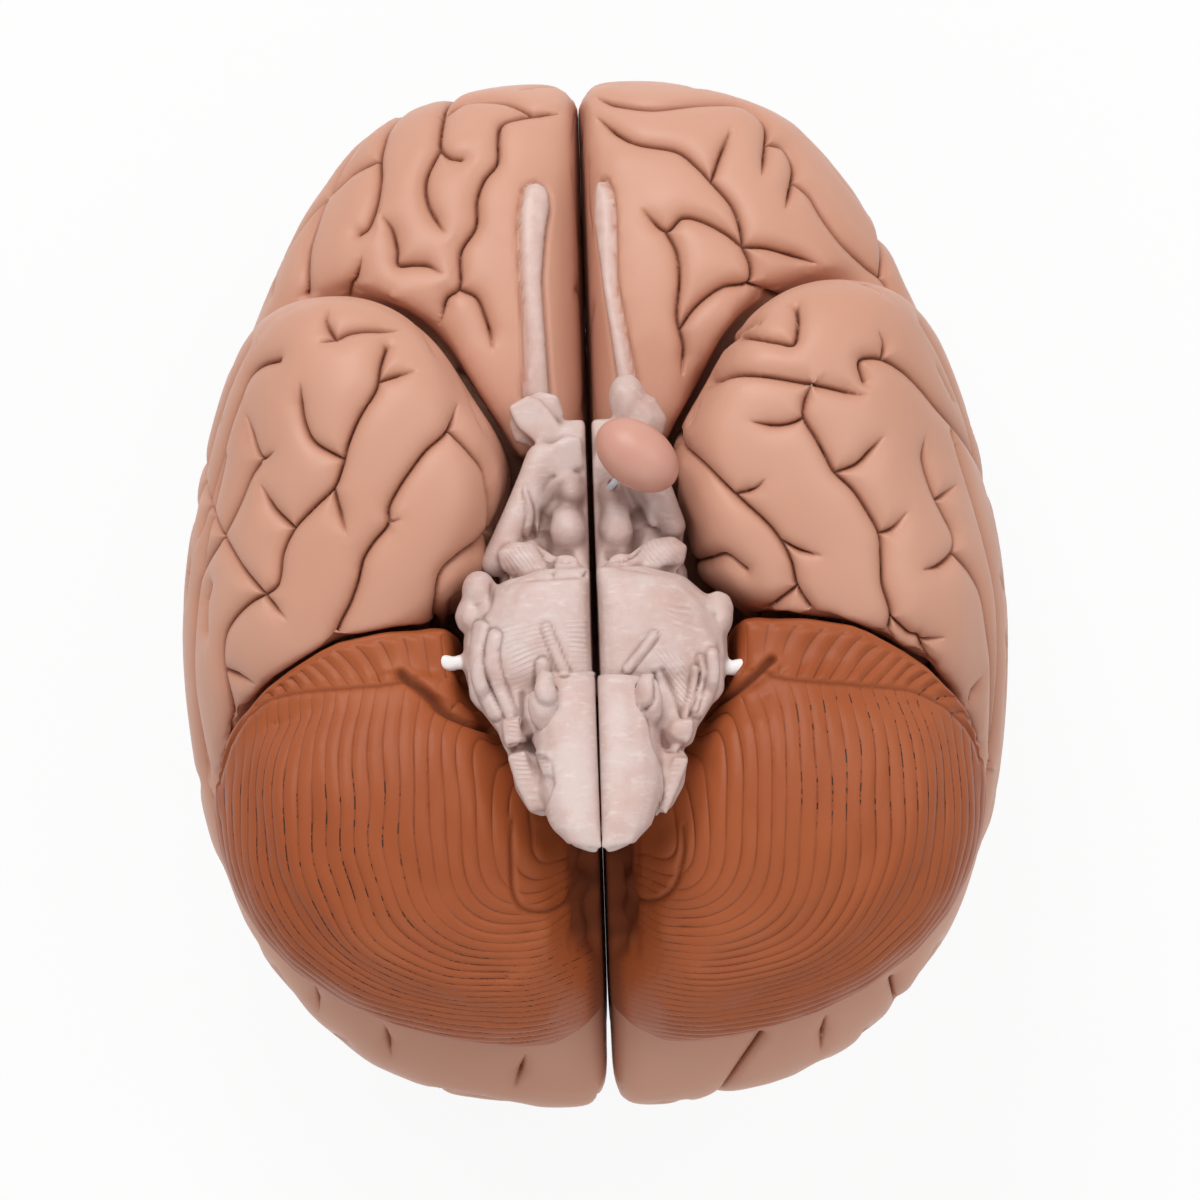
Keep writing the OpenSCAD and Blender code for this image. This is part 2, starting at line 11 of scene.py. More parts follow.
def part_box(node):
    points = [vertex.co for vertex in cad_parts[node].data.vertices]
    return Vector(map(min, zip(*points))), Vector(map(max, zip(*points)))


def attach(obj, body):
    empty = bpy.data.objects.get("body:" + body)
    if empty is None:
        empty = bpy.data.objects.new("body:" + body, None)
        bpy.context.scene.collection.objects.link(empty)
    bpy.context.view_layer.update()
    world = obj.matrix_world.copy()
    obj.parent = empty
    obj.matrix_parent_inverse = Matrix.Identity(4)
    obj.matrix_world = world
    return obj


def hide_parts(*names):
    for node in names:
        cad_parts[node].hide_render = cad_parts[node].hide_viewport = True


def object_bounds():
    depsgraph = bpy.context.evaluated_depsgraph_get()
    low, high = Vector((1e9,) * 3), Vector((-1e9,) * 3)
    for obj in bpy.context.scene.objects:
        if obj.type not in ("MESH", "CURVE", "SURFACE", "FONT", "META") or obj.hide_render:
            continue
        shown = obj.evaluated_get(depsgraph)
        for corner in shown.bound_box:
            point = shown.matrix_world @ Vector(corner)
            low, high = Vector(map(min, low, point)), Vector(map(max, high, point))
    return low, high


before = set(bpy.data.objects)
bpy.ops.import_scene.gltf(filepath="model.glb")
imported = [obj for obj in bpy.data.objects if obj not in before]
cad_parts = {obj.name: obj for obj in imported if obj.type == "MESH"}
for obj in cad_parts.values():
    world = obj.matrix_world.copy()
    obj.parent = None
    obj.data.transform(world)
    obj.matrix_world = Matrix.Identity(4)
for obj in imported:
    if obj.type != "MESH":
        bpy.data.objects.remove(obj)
cadLow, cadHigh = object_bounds()
mm = 0.001
scene = bpy.context.scene
scene.view_settings.view_transform = "Standard"


def addObject(name, data):
    made = bpy.data.objects.new(name, data)
    scene.collection.objects.link(made)
    return made


def meshFrom(bm, name):
    mesh = bpy.data.meshes.new(name)
    bm.to_mesh(mesh)
    bm.free()
    return mesh


def linear(red, green, blue):
    # a colour as seen, from 0 to 255, to the shader's own scale
    return tuple(((c / 255 + 0.055) / 1.055) ** 2.4 if c > 10 else c / 255 / 12.92
                 for c in (red, green, blue))


class Nodes:
    # an empty node tree with short ways to add and join nodes
    def __init__(self, holder, outKind):
        holder.use_nodes = True
        self.tree = holder.node_tree
        self.tree.nodes.clear()
        self.out = self.add(outKind)

    def add(self, kind, **values):
        node = self.tree.nodes.new(kind)
        for name, value in values.items():
            setattr(node, name, value)
        return node

    def join(self, output, target):
        self.tree.links.new(output, target)

    def feed(self, value, target):
        # a number is set on the socket itself, an output is joined to it
        if isinstance(value, (int, float)):
            target.default_value = value
        elif value is not None:
            self.join(value, target)

    def math(self, kind, a, b=None):
        node = self.add("ShaderNodeMath", operation=kind)
        for value, target in zip((a, b), node.inputs):
            self.feed(value, target)
        return node.outputs[0]

    def times(self, a, b):
        return self.math("MULTIPLY", a, b)

    def ranged(self, value, low, high, first=0.0, last=1.0):
        node = self.add("ShaderNodeMapRange")
        for key, number in (("From Min", low), ("From Max", high), ("To Min", first), ("To Max", last)):
            node.inputs[key].default_value = number
        self.join(value, node.inputs["Value"])
        return node.outputs["Result"]

    def seenStraight(self):
        # 1 for the camera and for reflections, 0 for the light on the object
        path = self.add("ShaderNodeLightPath")
        return self.math("MAXIMUM", path.outputs["Is Camera Ray"], path.outputs["Is Glossy Ray"])


class Shader(Nodes):
    # a material with a principled surface
    def __init__(self, name):
        self.material = bpy.data.materials.new(name)
        super().__init__(self.material, "ShaderNodeOutputMaterial")
        self.surface = self.add("ShaderNodeBsdfPrincipled")
        self.join(self.surface.outputs[0], self.out.inputs["Surface"])
        self.place = self.add("ShaderNodeTexCoord").outputs["Object"]

    def noise(self, scale, detail=3.0, rough=0.5, stretch=(1, 1, 1)):
        mapping = self.add("ShaderNodeMapping")
        mapping.inputs["Scale"].default_value = stretch
        self.join(self.place, mapping.inputs["Vector"])
        node = self.add("ShaderNodeTexNoise")
        for key, number in (("Scale", scale), ("Detail", detail), ("Roughness", rough)):
            node.inputs[key].default_value = number
        self.join(mapping.outputs[0], node.inputs["Vector"])
        return node.outputs["Fac"]

    def attribute(self, name):
        return self.add("ShaderNodeAttribute", attribute_name=name).outputs["Fac"]

    def mix(self, share, a, b):
        node = self.add("ShaderNodeMix", data_type="RGBA")
        self.join(share, node.inputs[0])
        for value, target in ((a, node.inputs[6]), (b, node.inputs[7])):
            if isinstance(value, tuple):
                target.default_value = linear(*value) + (1,)
            else:
                self.join(value, target)
        return node.outputs[2]

    def patches(self, scale, detail, first, second):
        # two colours that change in soft patches
        return self.mix(self.ranged(self.noise(scale, detail), 0.35, 0.65), first, second)

    def painted(self, base, name, low, high, most, colour):
        # a colour laid over the base as far as an attribute goes
        return self.mix(self.ranged(self.attribute(name), low, high, 0.0, most), base, colour)

    def bump(self, height, strength, distance, under=None):
        node = self.add("ShaderNodeBump")
        for key, value in (("Strength", strength), ("Distance", distance), ("Height", height),
                           ("Normal", under)):
            self.feed(value, node.inputs[key])
        return node.outputs[0]

    def fromMiddle(self, name):
        # 0 on the middle of each repeat of a running attribute, 0.5 between two repeats
        return self.math("ABSOLUTE", self.math("SUBTRACT", self.math("FRACT", self.attribute(name)), 0.5))

    def finish(self, colour, roughness, normal=None, **values):
        for key, value in (("Base Color", colour), ("Roughness", roughness), ("Normal", normal)):
            self.feed(value, self.surface.inputs[key])
        for name, value in values.items():
            self.surface.inputs[name.replace("_", " ")].default_value = value
        return self.material


cameraSettings = {
    "eye": (0.98 * mm, -1.40 * mm, 700 * mm),   # straight above the underside
    "turn": -0.0333,                            # the photograph leans a little
    "width": 204.4 * mm,                        # seen at the height below
    "height": 58 * mm,
    "film": 36,                                 # the sensor's breadth, which sets the lens
}


def addCamera(settings):
    data = bpy.data.cameras.new("camera")
    camera = addObject("camera", data)
    camera.location = settings["eye"]
    camera.rotation_euler = (0, 0, settings["turn"])
    data.sensor_width = settings["film"]
    data.lens = settings["film"] * (settings["eye"][2] - settings["height"]) / settings["width"]
    data.clip_start = 0.01
    data.clip_end = 20
    scene.camera = camera


stageSettings = {
    "size": 6.0, "colour": (0.86, 0.86, 0.86, 1), "glow": 1.0, "share": 0.9,
    "reach": 90 * mm,           # what stands this near takes the glow off the floor
    "gap": (0.06, 0.3),         # how open the floor is where the glow starts and where it is whole
}


def addFloor(settings):
    bm = bmesh.new()
    bmesh.ops.create_grid(bm, x_segments=1, y_segments=1, size=settings["size"] / 2)
    floor = addObject("floor", meshFrom(bm, "floor"))
    material = bpy.data.materials.new("floorPaper")
    s = Nodes(material, "ShaderNodeOutputMaterial")
    paper = s.add("ShaderNodeBsdfDiffuse")
    paper.inputs["Color"].default_value = settings["colour"]
    light = s.add("ShaderNodeEmission")
    light.inputs["Strength"].default_value = settings["glow"]
    openness = s.add("ShaderNodeAmbientOcclusion", samples=12)
    openness.inputs["Distance"].default_value = settings["reach"]
    # dark in the narrow gap, white around the model
    level = s.ranged(openness.outputs["AO"], *settings["gap"], 0.0, settings["share"])
    share = s.add("ShaderNodeMixShader")
    glowing = s.times(s.seenStraight(), level)
    for output, target in zip((glowing, paper.outputs[0], light.outputs[0]), share.inputs):
        s.join(output, target)
    s.join(share.outputs[0], s.out.inputs["Surface"])
    floor.data.materials.append(material)


lightSettings = {
    "sky": 0.43, "aim": (0, 0, 0.06),
    "lamps": [  # place, size and power of each soft box
        {"place": (-0.24, 0.75, 0.9), "size": 0.7, "power": 7.6},
        {"place": (0.55, 0.3, 0.9), "size": 0.7, "power": 2.4},
        {"place": (-0.1, -0.75, 0.8), "size": 0.7, "power": 1.6},
    ],
}


def addLights(settings):
    world = bpy.data.worlds.new("tent")
    scene.world = world
    s = Nodes(world, "ShaderNodeOutputWorld")
    back = s.add("ShaderNodeBackground")
    back.inputs["Color"].default_value = (1, 1, 1, 1)
    s.join(s.ranged(s.seenStraight(), 0.0, 1.0, settings["sky"], 1.0), back.inputs["Strength"])
    s.join(back.outputs[0], s.out.inputs["Surface"])
    for i, lamp in enumerate(settings["lamps"]):
        data = bpy.data.lights.new("softBox%d" % i, "AREA")
        data.shape = "SQUARE"
        data.size = lamp["size"]
        data.energy = lamp["power"]
        box = addObject(data.name, data)
        box.location = lamp["place"]
        aim = Vector(settings["aim"]) - box.location
        box.rotation_euler = aim.to_track_quat("-Z", "Y").to_euler()


addCamera(cameraSettings)
addFloor(stageSettings)
addLights(lightSettings)
eye = Vector((0, 0, cameraSettings["eye"][2]))
print("stage ready")


def mergedCopy(nodeName):
    bm = bmesh.new()
    bm.from_mesh(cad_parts[nodeName].data)
    bmesh.ops.remove_doubles(bm, verts=bm.verts, dist=0.002 * mm)
    return bm


def groovePoints(bm, sharpest, spacing=0.8 * mm):
    # the bottoms of the casting's cut grooves
    points = []
    for edge in bm.edges:
        if len(edge.link_faces) == 2 and edge.calc_face_angle_signed(0) < sharpest:
            a, b = edge.verts[0].co, edge.verts[1].co
            steps = max(1, int((b - a).length / spacing))
            points += [a.lerp(b, i / steps) for i in range(steps + 1)]
    return points


def fillGrooves(bm, points, radius):
    # small balls along the bottoms; the remesh joins them with the casting
    ball = bmesh.new()
    bmesh.ops.create_icosphere(ball, subdivisions=1, radius=radius)
    mesh = meshFrom(ball, "ball")
    for point in points:
        mesh.transform(Matrix.Translation(point))
        bm.from_mesh(mesh)
        mesh.transform(Matrix.Translation(-point))
    bpy.data.meshes.remove(mesh)


def treeOf(points):
    tree = KDTree(max(len(points), 1))
    for i, point in enumerate(points):
        tree.insert(point, i)
    if not points:
        tree.insert((9, 9, 9), 0)
    tree.balance()
    return tree


def nearest(tree, points):
    found = [tree.find(p) for p in points]
    return np.array([f[2] for f in found]) / mm, np.array([f[1] for f in found])


def remeshed(bm, name, voxel):
    source = addObject(name, meshFrom(bm, name))
    grid = source.modifiers.new("grid", "REMESH")
    grid.mode = "VOXEL"
    grid.voxel_size = voxel
    bpy.context.view_layer.update()
    seen = source.evaluated_get(bpy.context.evaluated_depsgraph_get())
    result = bpy.data.meshes.new_from_object(seen)
    bpy.data.objects.remove(source)
    return result


def closedCasting(node, name, shape):
    # the frame's casting with its coarse grooves closed, their bottoms, and how far each point is from them
    bm = mergedCopy(node)
    cuts = groovePoints(bm, shape["sharpest"])
    fillGrooves(bm, cuts, shape["fill"] * mm)
    mesh = remeshed(bm, name, shape["voxel"] * mm)
    return mesh, cuts, nearest(treeOf(cuts), read(mesh)[0])[0]


def surfaceOf(mesh):
    return BVHTree.FromPolygons([v.co for v in mesh.vertices], [p.vertices for p in mesh.polygons])


def read(mesh):
    points = np.empty(len(mesh.vertices) * 3)
    mesh.vertices.foreach_get("co", points)
    edges = np.empty(len(mesh.edges) * 2, dtype=np.int64)
    mesh.edges.foreach_get("vertices", edges)
    return points.reshape(-1, 3), edges.reshape(-1, 2)


def write(mesh, points):
    mesh.vertices.foreach_set("co", points.ravel())
    mesh.update()


def normalsOf(mesh):
    normals = np.empty(len(mesh.vertices) * 3)
    mesh.vertices.foreach_get("normal", normals)
    return normals.reshape(-1, 3)


def relaxed(points, edges, rounds, weight=1.0):
    a, b = edges[:, 0], edges[:, 1]
    count = len(points)
    links = np.maximum(np.bincount(a, minlength=count) + np.bincount(b, minlength=count), 1)[:, None]
    weight = 0.6 * (np.ones(count) * weight)[:, None]
    for _ in range(rounds):
        mean = np.column_stack([np.bincount(a, points[b, k], count) + np.bincount(b, points[a, k], count)
                                for k in range(3)]) / links
        points = points + (mean - points) * weight
    return points


def relax(mesh, rounds, weight=1.0):
    points, edges = read(mesh)
    write(mesh, relaxed(points, edges, rounds, weight))


def hollows(mesh, rounds):
    # how deep each point lies under the smoothed surface, in millimetres
    points, edges = read(mesh)
    return ((relaxed(points, edges, rounds) - points) * normalsOf(mesh)).sum(1) / mm


def refine(mesh, chosen):
    # one cut in the edges whose ends are both chosen
    bm = bmesh.new()
    bm.from_mesh(mesh)
    edges = [e for e in bm.edges if chosen[e.verts[0].index] and chosen[e.verts[1].index]]
    bmesh.ops.subdivide_edges(bm, edges=edges, cuts=1, use_grid_fill=True)
    bm.to_mesh(mesh)
    bm.free()
    mesh.update()


def ramp(values, low, high):
    t = np.clip((values - low) / (high - low), 0, 1)
    return t * t * (3 - 2 * t)


def hill(distance, breadth):
    return np.exp(-(distance / breadth) ** 2)


def waves(points, seed, length, count=36):
    # a field whose zero lines wind like sulci; gives the field and its slope
    rng = np.random.default_rng(seed)
    ways = rng.normal(size=(count, 3))
    ways /= np.linalg.norm(ways, axis=1)[:, None]
    ways *= 2 * math.pi / length * rng.uniform(0.85, 1.15, (count, 1))
    turns = points @ ways.T + rng.uniform(0, 2 * math.pi, count)
    return np.cos(turns).sum(1), -(np.sin(turns) @ ways)


def wavesDistance(points, normals, seed, length):
    field, slope = waves(points, seed, length)
    slope = slope - normals * (slope * normals).sum(1)[:, None]
    steep = np.linalg.norm(slope, axis=1)
    return np.abs(field) / np.maximum(steep, np.median(steep) * 0.35) / mm


def curveThrough(line, spacing=0.4):
    # a smooth curve through points
    points = [Vector(p) for p in line]
    ends = [points[0] * 2 - points[1]] + points + [points[-1] * 2 - points[-2]]
    out = []
    for i in range(1, len(ends) - 2):
        p0, p1, p2, p3 = ends[i - 1:i + 3]
        steps = max(2, int((p2 - p1).length / spacing))
        for k in range(steps):
            t = k / steps
            out.append(0.5 * ((2 * p1) + (p2 - p0) * t + (2 * p0 - 5 * p1 + 4 * p2 - p3) * t * t
                              + (3 * p1 - p0 - 3 * p2 + p3) * t * t * t))
    out.append(points[-1])
    return out


def places(points, side):
    # the distance from the midline, the place along the brain and the height, in millimetres
    return side * points[:, 0] / mm, points[:, 1] / mm, points[:, 2] / mm


def castFromEye(surface, place, height):
    # where a place on the level plane is seen on the surface
    way = (Vector((place[0] * mm, place[1] * mm, height * mm)) - eye).normalized()
    return surface.ray_cast(eye, way)[0]


def laidOn(surface, line, side, height, joined=(False, False), fade=3.0, spacing=0.16):
    # the curve seen from the eye, laid on a surface; each point has a strength
    curve = curveThrough([(side * p[0], p[1]) for p in line], spacing)
    found = []
    for i, p in enumerate(curve):
        hit = castFromEye(surface, p, height)
        if hit is not None:
            reach = min(99 if joined[0] else i, 99 if joined[1] else len(curve) - 1 - i) * spacing
            found.append((hit, min(1.0, 0.2 + 0.8 * reach / fade)))
    return found


def joinedLine(line, lines, reach=1.6):
    # ends that come near another line are moved onto it
    others = [p for other in lines if other is not line for p in curveThrough(other)]
    line, joined = [Vector(p) for p in line], []
    for end in (0, -1):
        place = min(others, key=lambda p: (p - line[end]).length)
        joined.append((place - line[end]).length < reach)
        if joined[-1]:
            line[end] = place
    return line, joined


def runOver(surface, found, length, step=0.3, fade=4):
    # a line that ends at the outline as seen goes on around the side
    more = []
    for near, last in ((found[6][0], found[0][0]), (found[-7][0], found[-1][0])):
        normal = surface.find_nearest(last)[1]
        if normal.dot((eye - last).normalized()) > 0.45:
            continue
        way, steps = (last - near).normalized(), int(length / step)
        for i in range(steps):
            place = surface.find_nearest(last + way * step * mm)[0]
            way = (way * 0.9 + (place - last).normalized() * 0.1).normalized()
            last = place
            more.append((place, min(1.0, (steps - i) * step / fade)))
    return [(p, 1.0) for p, _ in found] + more if more else found


def facingEye(points, normals):
    view = np.array(eye) - points
    view /= np.linalg.norm(view, axis=1)[:, None]
    return (view * normals).sum(1)


def addFields(mesh, **fields):
    for name, values in fields.items():
        layer = mesh.attributes.new(name, "FLOAT", "POINT")
        layer.data.foreach_set("value", values.astype(np.float32))


def asPiece(mesh, name, body, node, material):
    for polygon in mesh.polygons:
        polygon.use_smooth = True
    mesh.materials.clear()
    mesh.materials.append(material)
    piece = addObject(name, mesh)
    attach(piece, body)
    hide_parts(node)
    print(name, "made,", len(mesh.polygons), "faces")


cerebrumPaint = {
    "vinyl": (201, 147, 123), "pale": (208, 156, 133), "warmShade": (186, 129, 104), "crease": (124, 76, 57),
    "strip": (217, 190, 181), "stripShade": (198, 161, 150), "roughness": 0.4,
}


def cerebrumVinyl(paint):
    s = Shader("cerebrumVinyl")
    base = s.patches(28, 2, paint["vinyl"], paint["pale"])
    # painted shade on the flanks beside each sulcus
    base = s.painted(base, "valley", 0.0, 1.0, 0.6, paint["warmShade"])
    # darker painted shade in the crease of each sulcus and in the groove around the olfactory strip
    base = s.painted(base, "crease", 0.15, 0.95, 0.75, paint["crease"])
    mottle = s.ranged(s.noise(420, 3, 0.6), 0.35, 0.7, 0.0, 0.5)
    strip = s.mix(mottle, paint["strip"], paint["stripShade"])
    base = s.mix(s.attribute("strip"), base, strip)
    skin = s.bump(s.noise(1500, 2), 0.05, 0.2 * mm)
    rough = s.ranged(s.noise(120, 3), 0.3, 0.7, paint["roughness"] - 0.04, paint["roughness"] + 0.06)
    return s.finish(base, rough, skin, Specular_IOR_Level=0.35)


cerebellumPaint = {
    "vinyl": (156, 79, 42), "bright": (165, 88, 50), "line": (116, 57, 31), "deep": (80, 37, 21),
    "dot": (40, 20, 13), "roughness": 0.42,
}


def cerebellumVinyl(paint):
    s = Shader("cerebellumVinyl")
    base = s.patches(40, 3, paint["vinyl"], paint["bright"])
    away = s.fromMiddle("folium")               # 0.5 in the valley
    cut = s.attribute("cut")
    # painted shade along the valley between each two folia, broken up by noise
    line = s.times(s.ranged(away, 0.42, 0.485), cut)
    line = s.times(line, s.ranged(s.noise(130, 2), 0.35, 0.65, 0.3, 0.95))
    base = s.mix(line, base, paint["line"])
    specks = s.ranged(s.noise(380, 3, 0.7), 0.53, 0.56)
    dots = s.times(s.times(s.ranged(away, 0.445, 0.465), specks), s.attribute("pit"))
    base = s.mix(dots, base, paint["dot"])
    # painted shade in the creases, the pit between the tonsils and the rounding to the midline
    base = s.painted(base, "crease", 0.1, 1.0, 0.9, paint["deep"])
    relief = s.bump(s.times(s.ranged(away, 0.5, 0.4), cut), 0.4, 0.3 * mm)
    relief = s.bump(s.noise(900, 3), 0.08, 0.2 * mm, relief)
    rough = s.ranged(s.attribute("crease"), 0.0, 0.6, paint["roughness"], 0.85)
    return s.finish(base, rough, relief, Specular_IOR_Level=0.22)


brainstemPaint = {
    "vinyl": (210, 189, 182), "wash": (201, 169, 160), "dry": (226, 213, 208), "shade": (152, 124, 115),
    "deep": (120, 92, 82), "bit": (244, 242, 240), "roughness": 0.48,
}


def brainstemVinyl(paint):
    s = Shader("brainstemVinyl")
    base = s.mix(s.ranged(s.noise(170, 4, 0.6), 0.38, 0.68), paint["vinyl"], paint["wash"])
    dry = s.ranged(s.noise(600, 3, 0.6, (0.6, 1.6, 1)), 0.54, 0.74, 0.0, 0.5)
    base = s.mix(dry, base, paint["dry"])
    fibre = s.times(s.ranged(s.fromMiddle("fibre"), 0.28, 0.46), s.attribute("fibreShare"))
    # painted shade in the low lines between the fibres
    line = s.times(fibre, s.ranged(s.noise(200, 2), 0.35, 0.65, 0.05, 0.3))
    base = s.mix(line, base, paint["shade"])
    # whitish dry-brush paint on the fibre ridges, which also serves as a painted highlight on them
    thread = s.times(s.ranged(s.fromMiddle("fibre"), 0.16, 0.03), s.attribute("fibreShare"))
    thread = s.times(thread, s.ranged(s.noise(260, 3), 0.42, 0.6, 0.0, 0.75))
    base = s.mix(thread, base, paint["dry"])
    # painted shade in the hollows and the recess, and darker painted shade in the deepest hollows
    base = s.painted(base, "valley", 0.0, 1.0, 0.8, paint["shade"])
    base = s.painted(base, "crease", 0.0, 1.0, 0.85, paint["deep"])
    base = s.mix(s.attribute("bit"), base, paint["bit"])
    relief = s.bump(s.math("SUBTRACT", 1.0, fibre), 0.45, 0.12 * mm)
    relief = s.bump(s.noise(1300, 3), 0.22, 0.2 * mm, relief)
    return s.finish(base, paint["roughness"], relief, Specular_IOR_Level=0.35)


cerebrumMaterial = cerebrumVinyl(cerebrumPaint)
cerebellumMaterial = cerebellumVinyl(cerebellumPaint)
brainstemMaterial = brainstemVinyl(brainstemPaint)

# Sulci of the underside as [distance from the midline, place along the brain] in millimetres, on the
# level plane at the height before them; the olfactory strip has its width as a third number
frontalRight = {"sulci": [(84, [
    [[3, 78.4], [6, 78.8], [10, 78.4], [12.6, 77.5], [13.1, 75], [13.4, 71.2], [15.7, 68.4], [17, 65],
     [17.4, 60.7], [20, 56.5], [20.3, 51], [22.6, 48.8], [24, 44.5]],
    [[22.4, 79], [22.7, 76.4], [22.8, 74], [21.4, 72.4], [19.5, 71.9]],
    [[22.8, 74], [25.3, 69], [25.2, 65], [23.6, 61.5], [22.5, 59.7]],
    [[32.2, 75.5], [33, 72.3], [33.1, 69], [33.9, 64.7], [35.2, 61.3], [36.7, 60.1]],
    [[33, 72.3], [37, 70.5], [40, 68]],
    [[32.6, 62.4], [31.4, 60.7], [30.6, 57.3], [30.5, 54.9], [27.8, 54.8], [25.4, 54.5], [23.3, 53]],
    [[36.3, 55.8], [37.9, 51.7], [38.3, 48.3]],
    [[19.8, 50.3], [17.7, 49], [16.4, 46], [15.5, 42.7], [15.3, 40.3]],
    [[44, 61.5], [45.2, 57.8], [45.6, 54], [45.5, 50]],
    [[7.2, 78.8], [11, 80.8], [15, 81.4], [19, 81], [22, 80]],
    [[20.5, 36], [17.4, 31]],
])], "strip": [[7.2, 65.2, 4.2], [7.3, 63.6, 4.7], [7.9, 60, 4.4], [8.3, 54, 3.6], [8.4, 50, 3.3],
               [8.1, 40, 3.4], [8.2, 33, 4.3]]}
frontalLeft = {"sulci": [(84, [
    [[3, 80.9], [6.6, 80], [12.3, 79.2], [19.5, 79.7], [25.3, 79.5], [28.6, 78.2], [31, 75.7], [30.8, 72],
     [29.9, 67.3]],
    [[3, 77.3], [6, 75.3], [9.7, 73.5], [15.9, 72.1], [19.2, 69.6], [21.5, 67], [24.7, 63], [26, 59.2],
     [26.4, 55.9]],
    [[25, 75], [23.3, 71.4], [21.5, 67]],
    [[31, 72.8], [33.7, 72], [35.3, 69], [34.9, 66], [33.6, 61.8]],
    [[35.2, 66.4], [37.8, 64], [40, 60.2], [42.8, 56.2], [46.5, 52.2], [49.1, 50], [50.9, 46.9], [51, 43]],
    [[37, 74.3], [40.8, 69.8], [45, 64], [48.2, 58.5], [49.5, 54], [49.3, 50]],
    [[10, 62.2], [13.6, 59], [16.5, 61], [19.8, 60.4], [23.6, 58.3], [26.4, 55.9]],
    [[13.6, 59], [15.3, 55.3], [15.6, 50.5], [15, 44.7], [16, 39.3], [15.8, 35]],
    [[26.4, 55.9], [30.3, 55.5], [34, 54.2], [38, 52.4]],
    [[26.4, 55.9], [27.7, 52.5], [27.2, 49.6], [23.3, 49.4], [20, 47.8], [17.4, 45.5], [15.6, 42.6]],
    [[27.2, 49.6], [30, 47.6], [34, 46]],
])], "strip": [[3.7, 66.2, 1.6], [3.7, 64.5, 3.2], [3.7, 60, 3.8], [4.1, 54, 2.6], [4.3, 50, 2.2],
               [5.6, 40, 2.4], [6.4, 34, 2.8]]}
temporalRight = {"sulci": [(98, [
    [[31.6, 40.7], [32.7, 37.5], [33.7, 33.7], [36.7, 29.2], [38.7, 25], [39.8, 21.3], [41.3, 18], [44.7, 15],
     [48, 11.8], [50, 8], [50.7, 4], [51.7, 2.3], [55.5, 0.3], [58.4, -2.4], [60, -5.6], [60.1, -10.7],
     [58, -20]],
    [[27.3, 36.3], [30, 36], [33.2, 35]],
    [[46, 34.6], [46.2, 31.4], [45.6, 28], [44, 25.2], [40, 22.6]],
    [[54.7, 29.8], [54, 25.6], [52.8, 23.2], [50.6, 24]],
    [[52.8, 23.2], [54.8, 20.5], [56.8, 16.2], [59.5, 11.2], [62.3, 6.7], [64, 1.6], [64.6, -5]],
    [[52.7, 18.5], [51.2, 15.2], [48.3, 12]],
    [[41, 18], [40.5, 14.8], [39.4, 10.8]],
    [[20.5, 30.5], [21.8, 26.8], [25.7, 23.6], [28, 21], [30.5, 17.7], [32.3, 14.5], [32.6, 11.7], [35, 9],
     [36.8, 6.2], [37.6, 3], [39, -0.7], [41, -4.8], [42, -10]],
    [[21.8, 26.8], [18.6, 23.4], [16.2, 20], [15.6, 16]],
    [[18, 8], [21, 6], [23.8, 3.4], [24.6, -0.8], [25, -4]],
    [[41, 46.6], [41.3, 44.8], [40, 42.6]],
    [[42.4, 41.4], [40, 42.2], [37.6, 43.2], [34, 43.5], [29.5, 43]],
    [[49.5, 39], [52.3, 38.3], [54.4, 36.5], [56, 33]],
    [[60.1, -10.7], [55, -13]],
    [[61.3, 15.9], [60.6, 13.5]],
    [[32.4, 11.9], [30.5, 12.5]],
]), (58, [
    [[49.9, -65.6], [49.5, -69.7]], [[38.2, -72.8], [37.4, -77.8]],
    [[14.2, -78.6], [15.2, -81.5], [16.3, -84]],
])]}
temporalLeft = {"sulci": [(98, [
    [[21.6, 40], [25.8, 40.3], [30.5, 39.4], [33.3, 39], [34, 42.4], [33.7, 45]],
    [[17, 32.5], [20, 33.2], [22, 34]],
    [[44.7, 32.4], [44.1, 35], [45, 36], [48, 35.8], [51.3, 33.8], [54, 31], [56.3, 28], [58.3, 25.6]],
    [[48, 35.8], [48.2, 38], [47.3, 40]],
    [[26, 26.3], [30, 25.7], [32.8, 26], [34.7, 26.8]],
    [[36.3, 32.5], [35, 29.7], [34.7, 26.8], [36.5, 23.5], [38.2, 20.2], [39.5, 17.8], [42.3, 15],
     [44.5, 11.6], [46.4, 7.8], [46.6, 4], [46.6, -0.2], [47.6, -6], [45, -11.4]],
    [[39.5, 17.8], [43, 19], [45.3, 21], [47.2, 23]],
    [[46.4, 7.8], [48.6, 8.6], [50.5, 10.7]],
    [[47.6, -6], [50.3, -8.8], [52.2, -10], [52.2, -17]],
    [[52.2, -10], [55.7, -9.4]],
    [[14.6, 22.6], [17.2, 20], [20.3, 17], [24, 13.7], [27.6, 10.3], [29.8, 7.4], [31.6, 3.6], [32.4, -0.6],
     [34.6, -4.5], [37.2, -9.2]],
    [[23, 14.8], [26, 15.5], [27.8, 16.8]],
    [[30, 7], [33, 5.4], [36.5, 4.4]],
    [[17.8, 4.4], [20.8, 4.7], [24, 2.4]],
    [[32.3, -0.7], [29, -3], [27, -4.6], [25.8, -6.5]],
    [[54, 22.7], [54, 19.2], [55.3, 14.5], [57, 10.7], [58.4, 7.4], [58.3, 4.6], [56, 2.5], [53, 1.7]],
    [[56.5, 13.2], [58.6, 15]],
    [[58.4, 4.6], [61, 1.2], [62.7, -3], [63.5, -10]],
    [[61.6, -16], [59.3, -20]],
]), (58, [
    [[26.1, -76.5], [23, -80.8], [19.6, -85.7]], [[37.3, -73.5], [36.2, -79.6]],
    [[48.9, -67.9], [49.7, -71.7]],
])]}

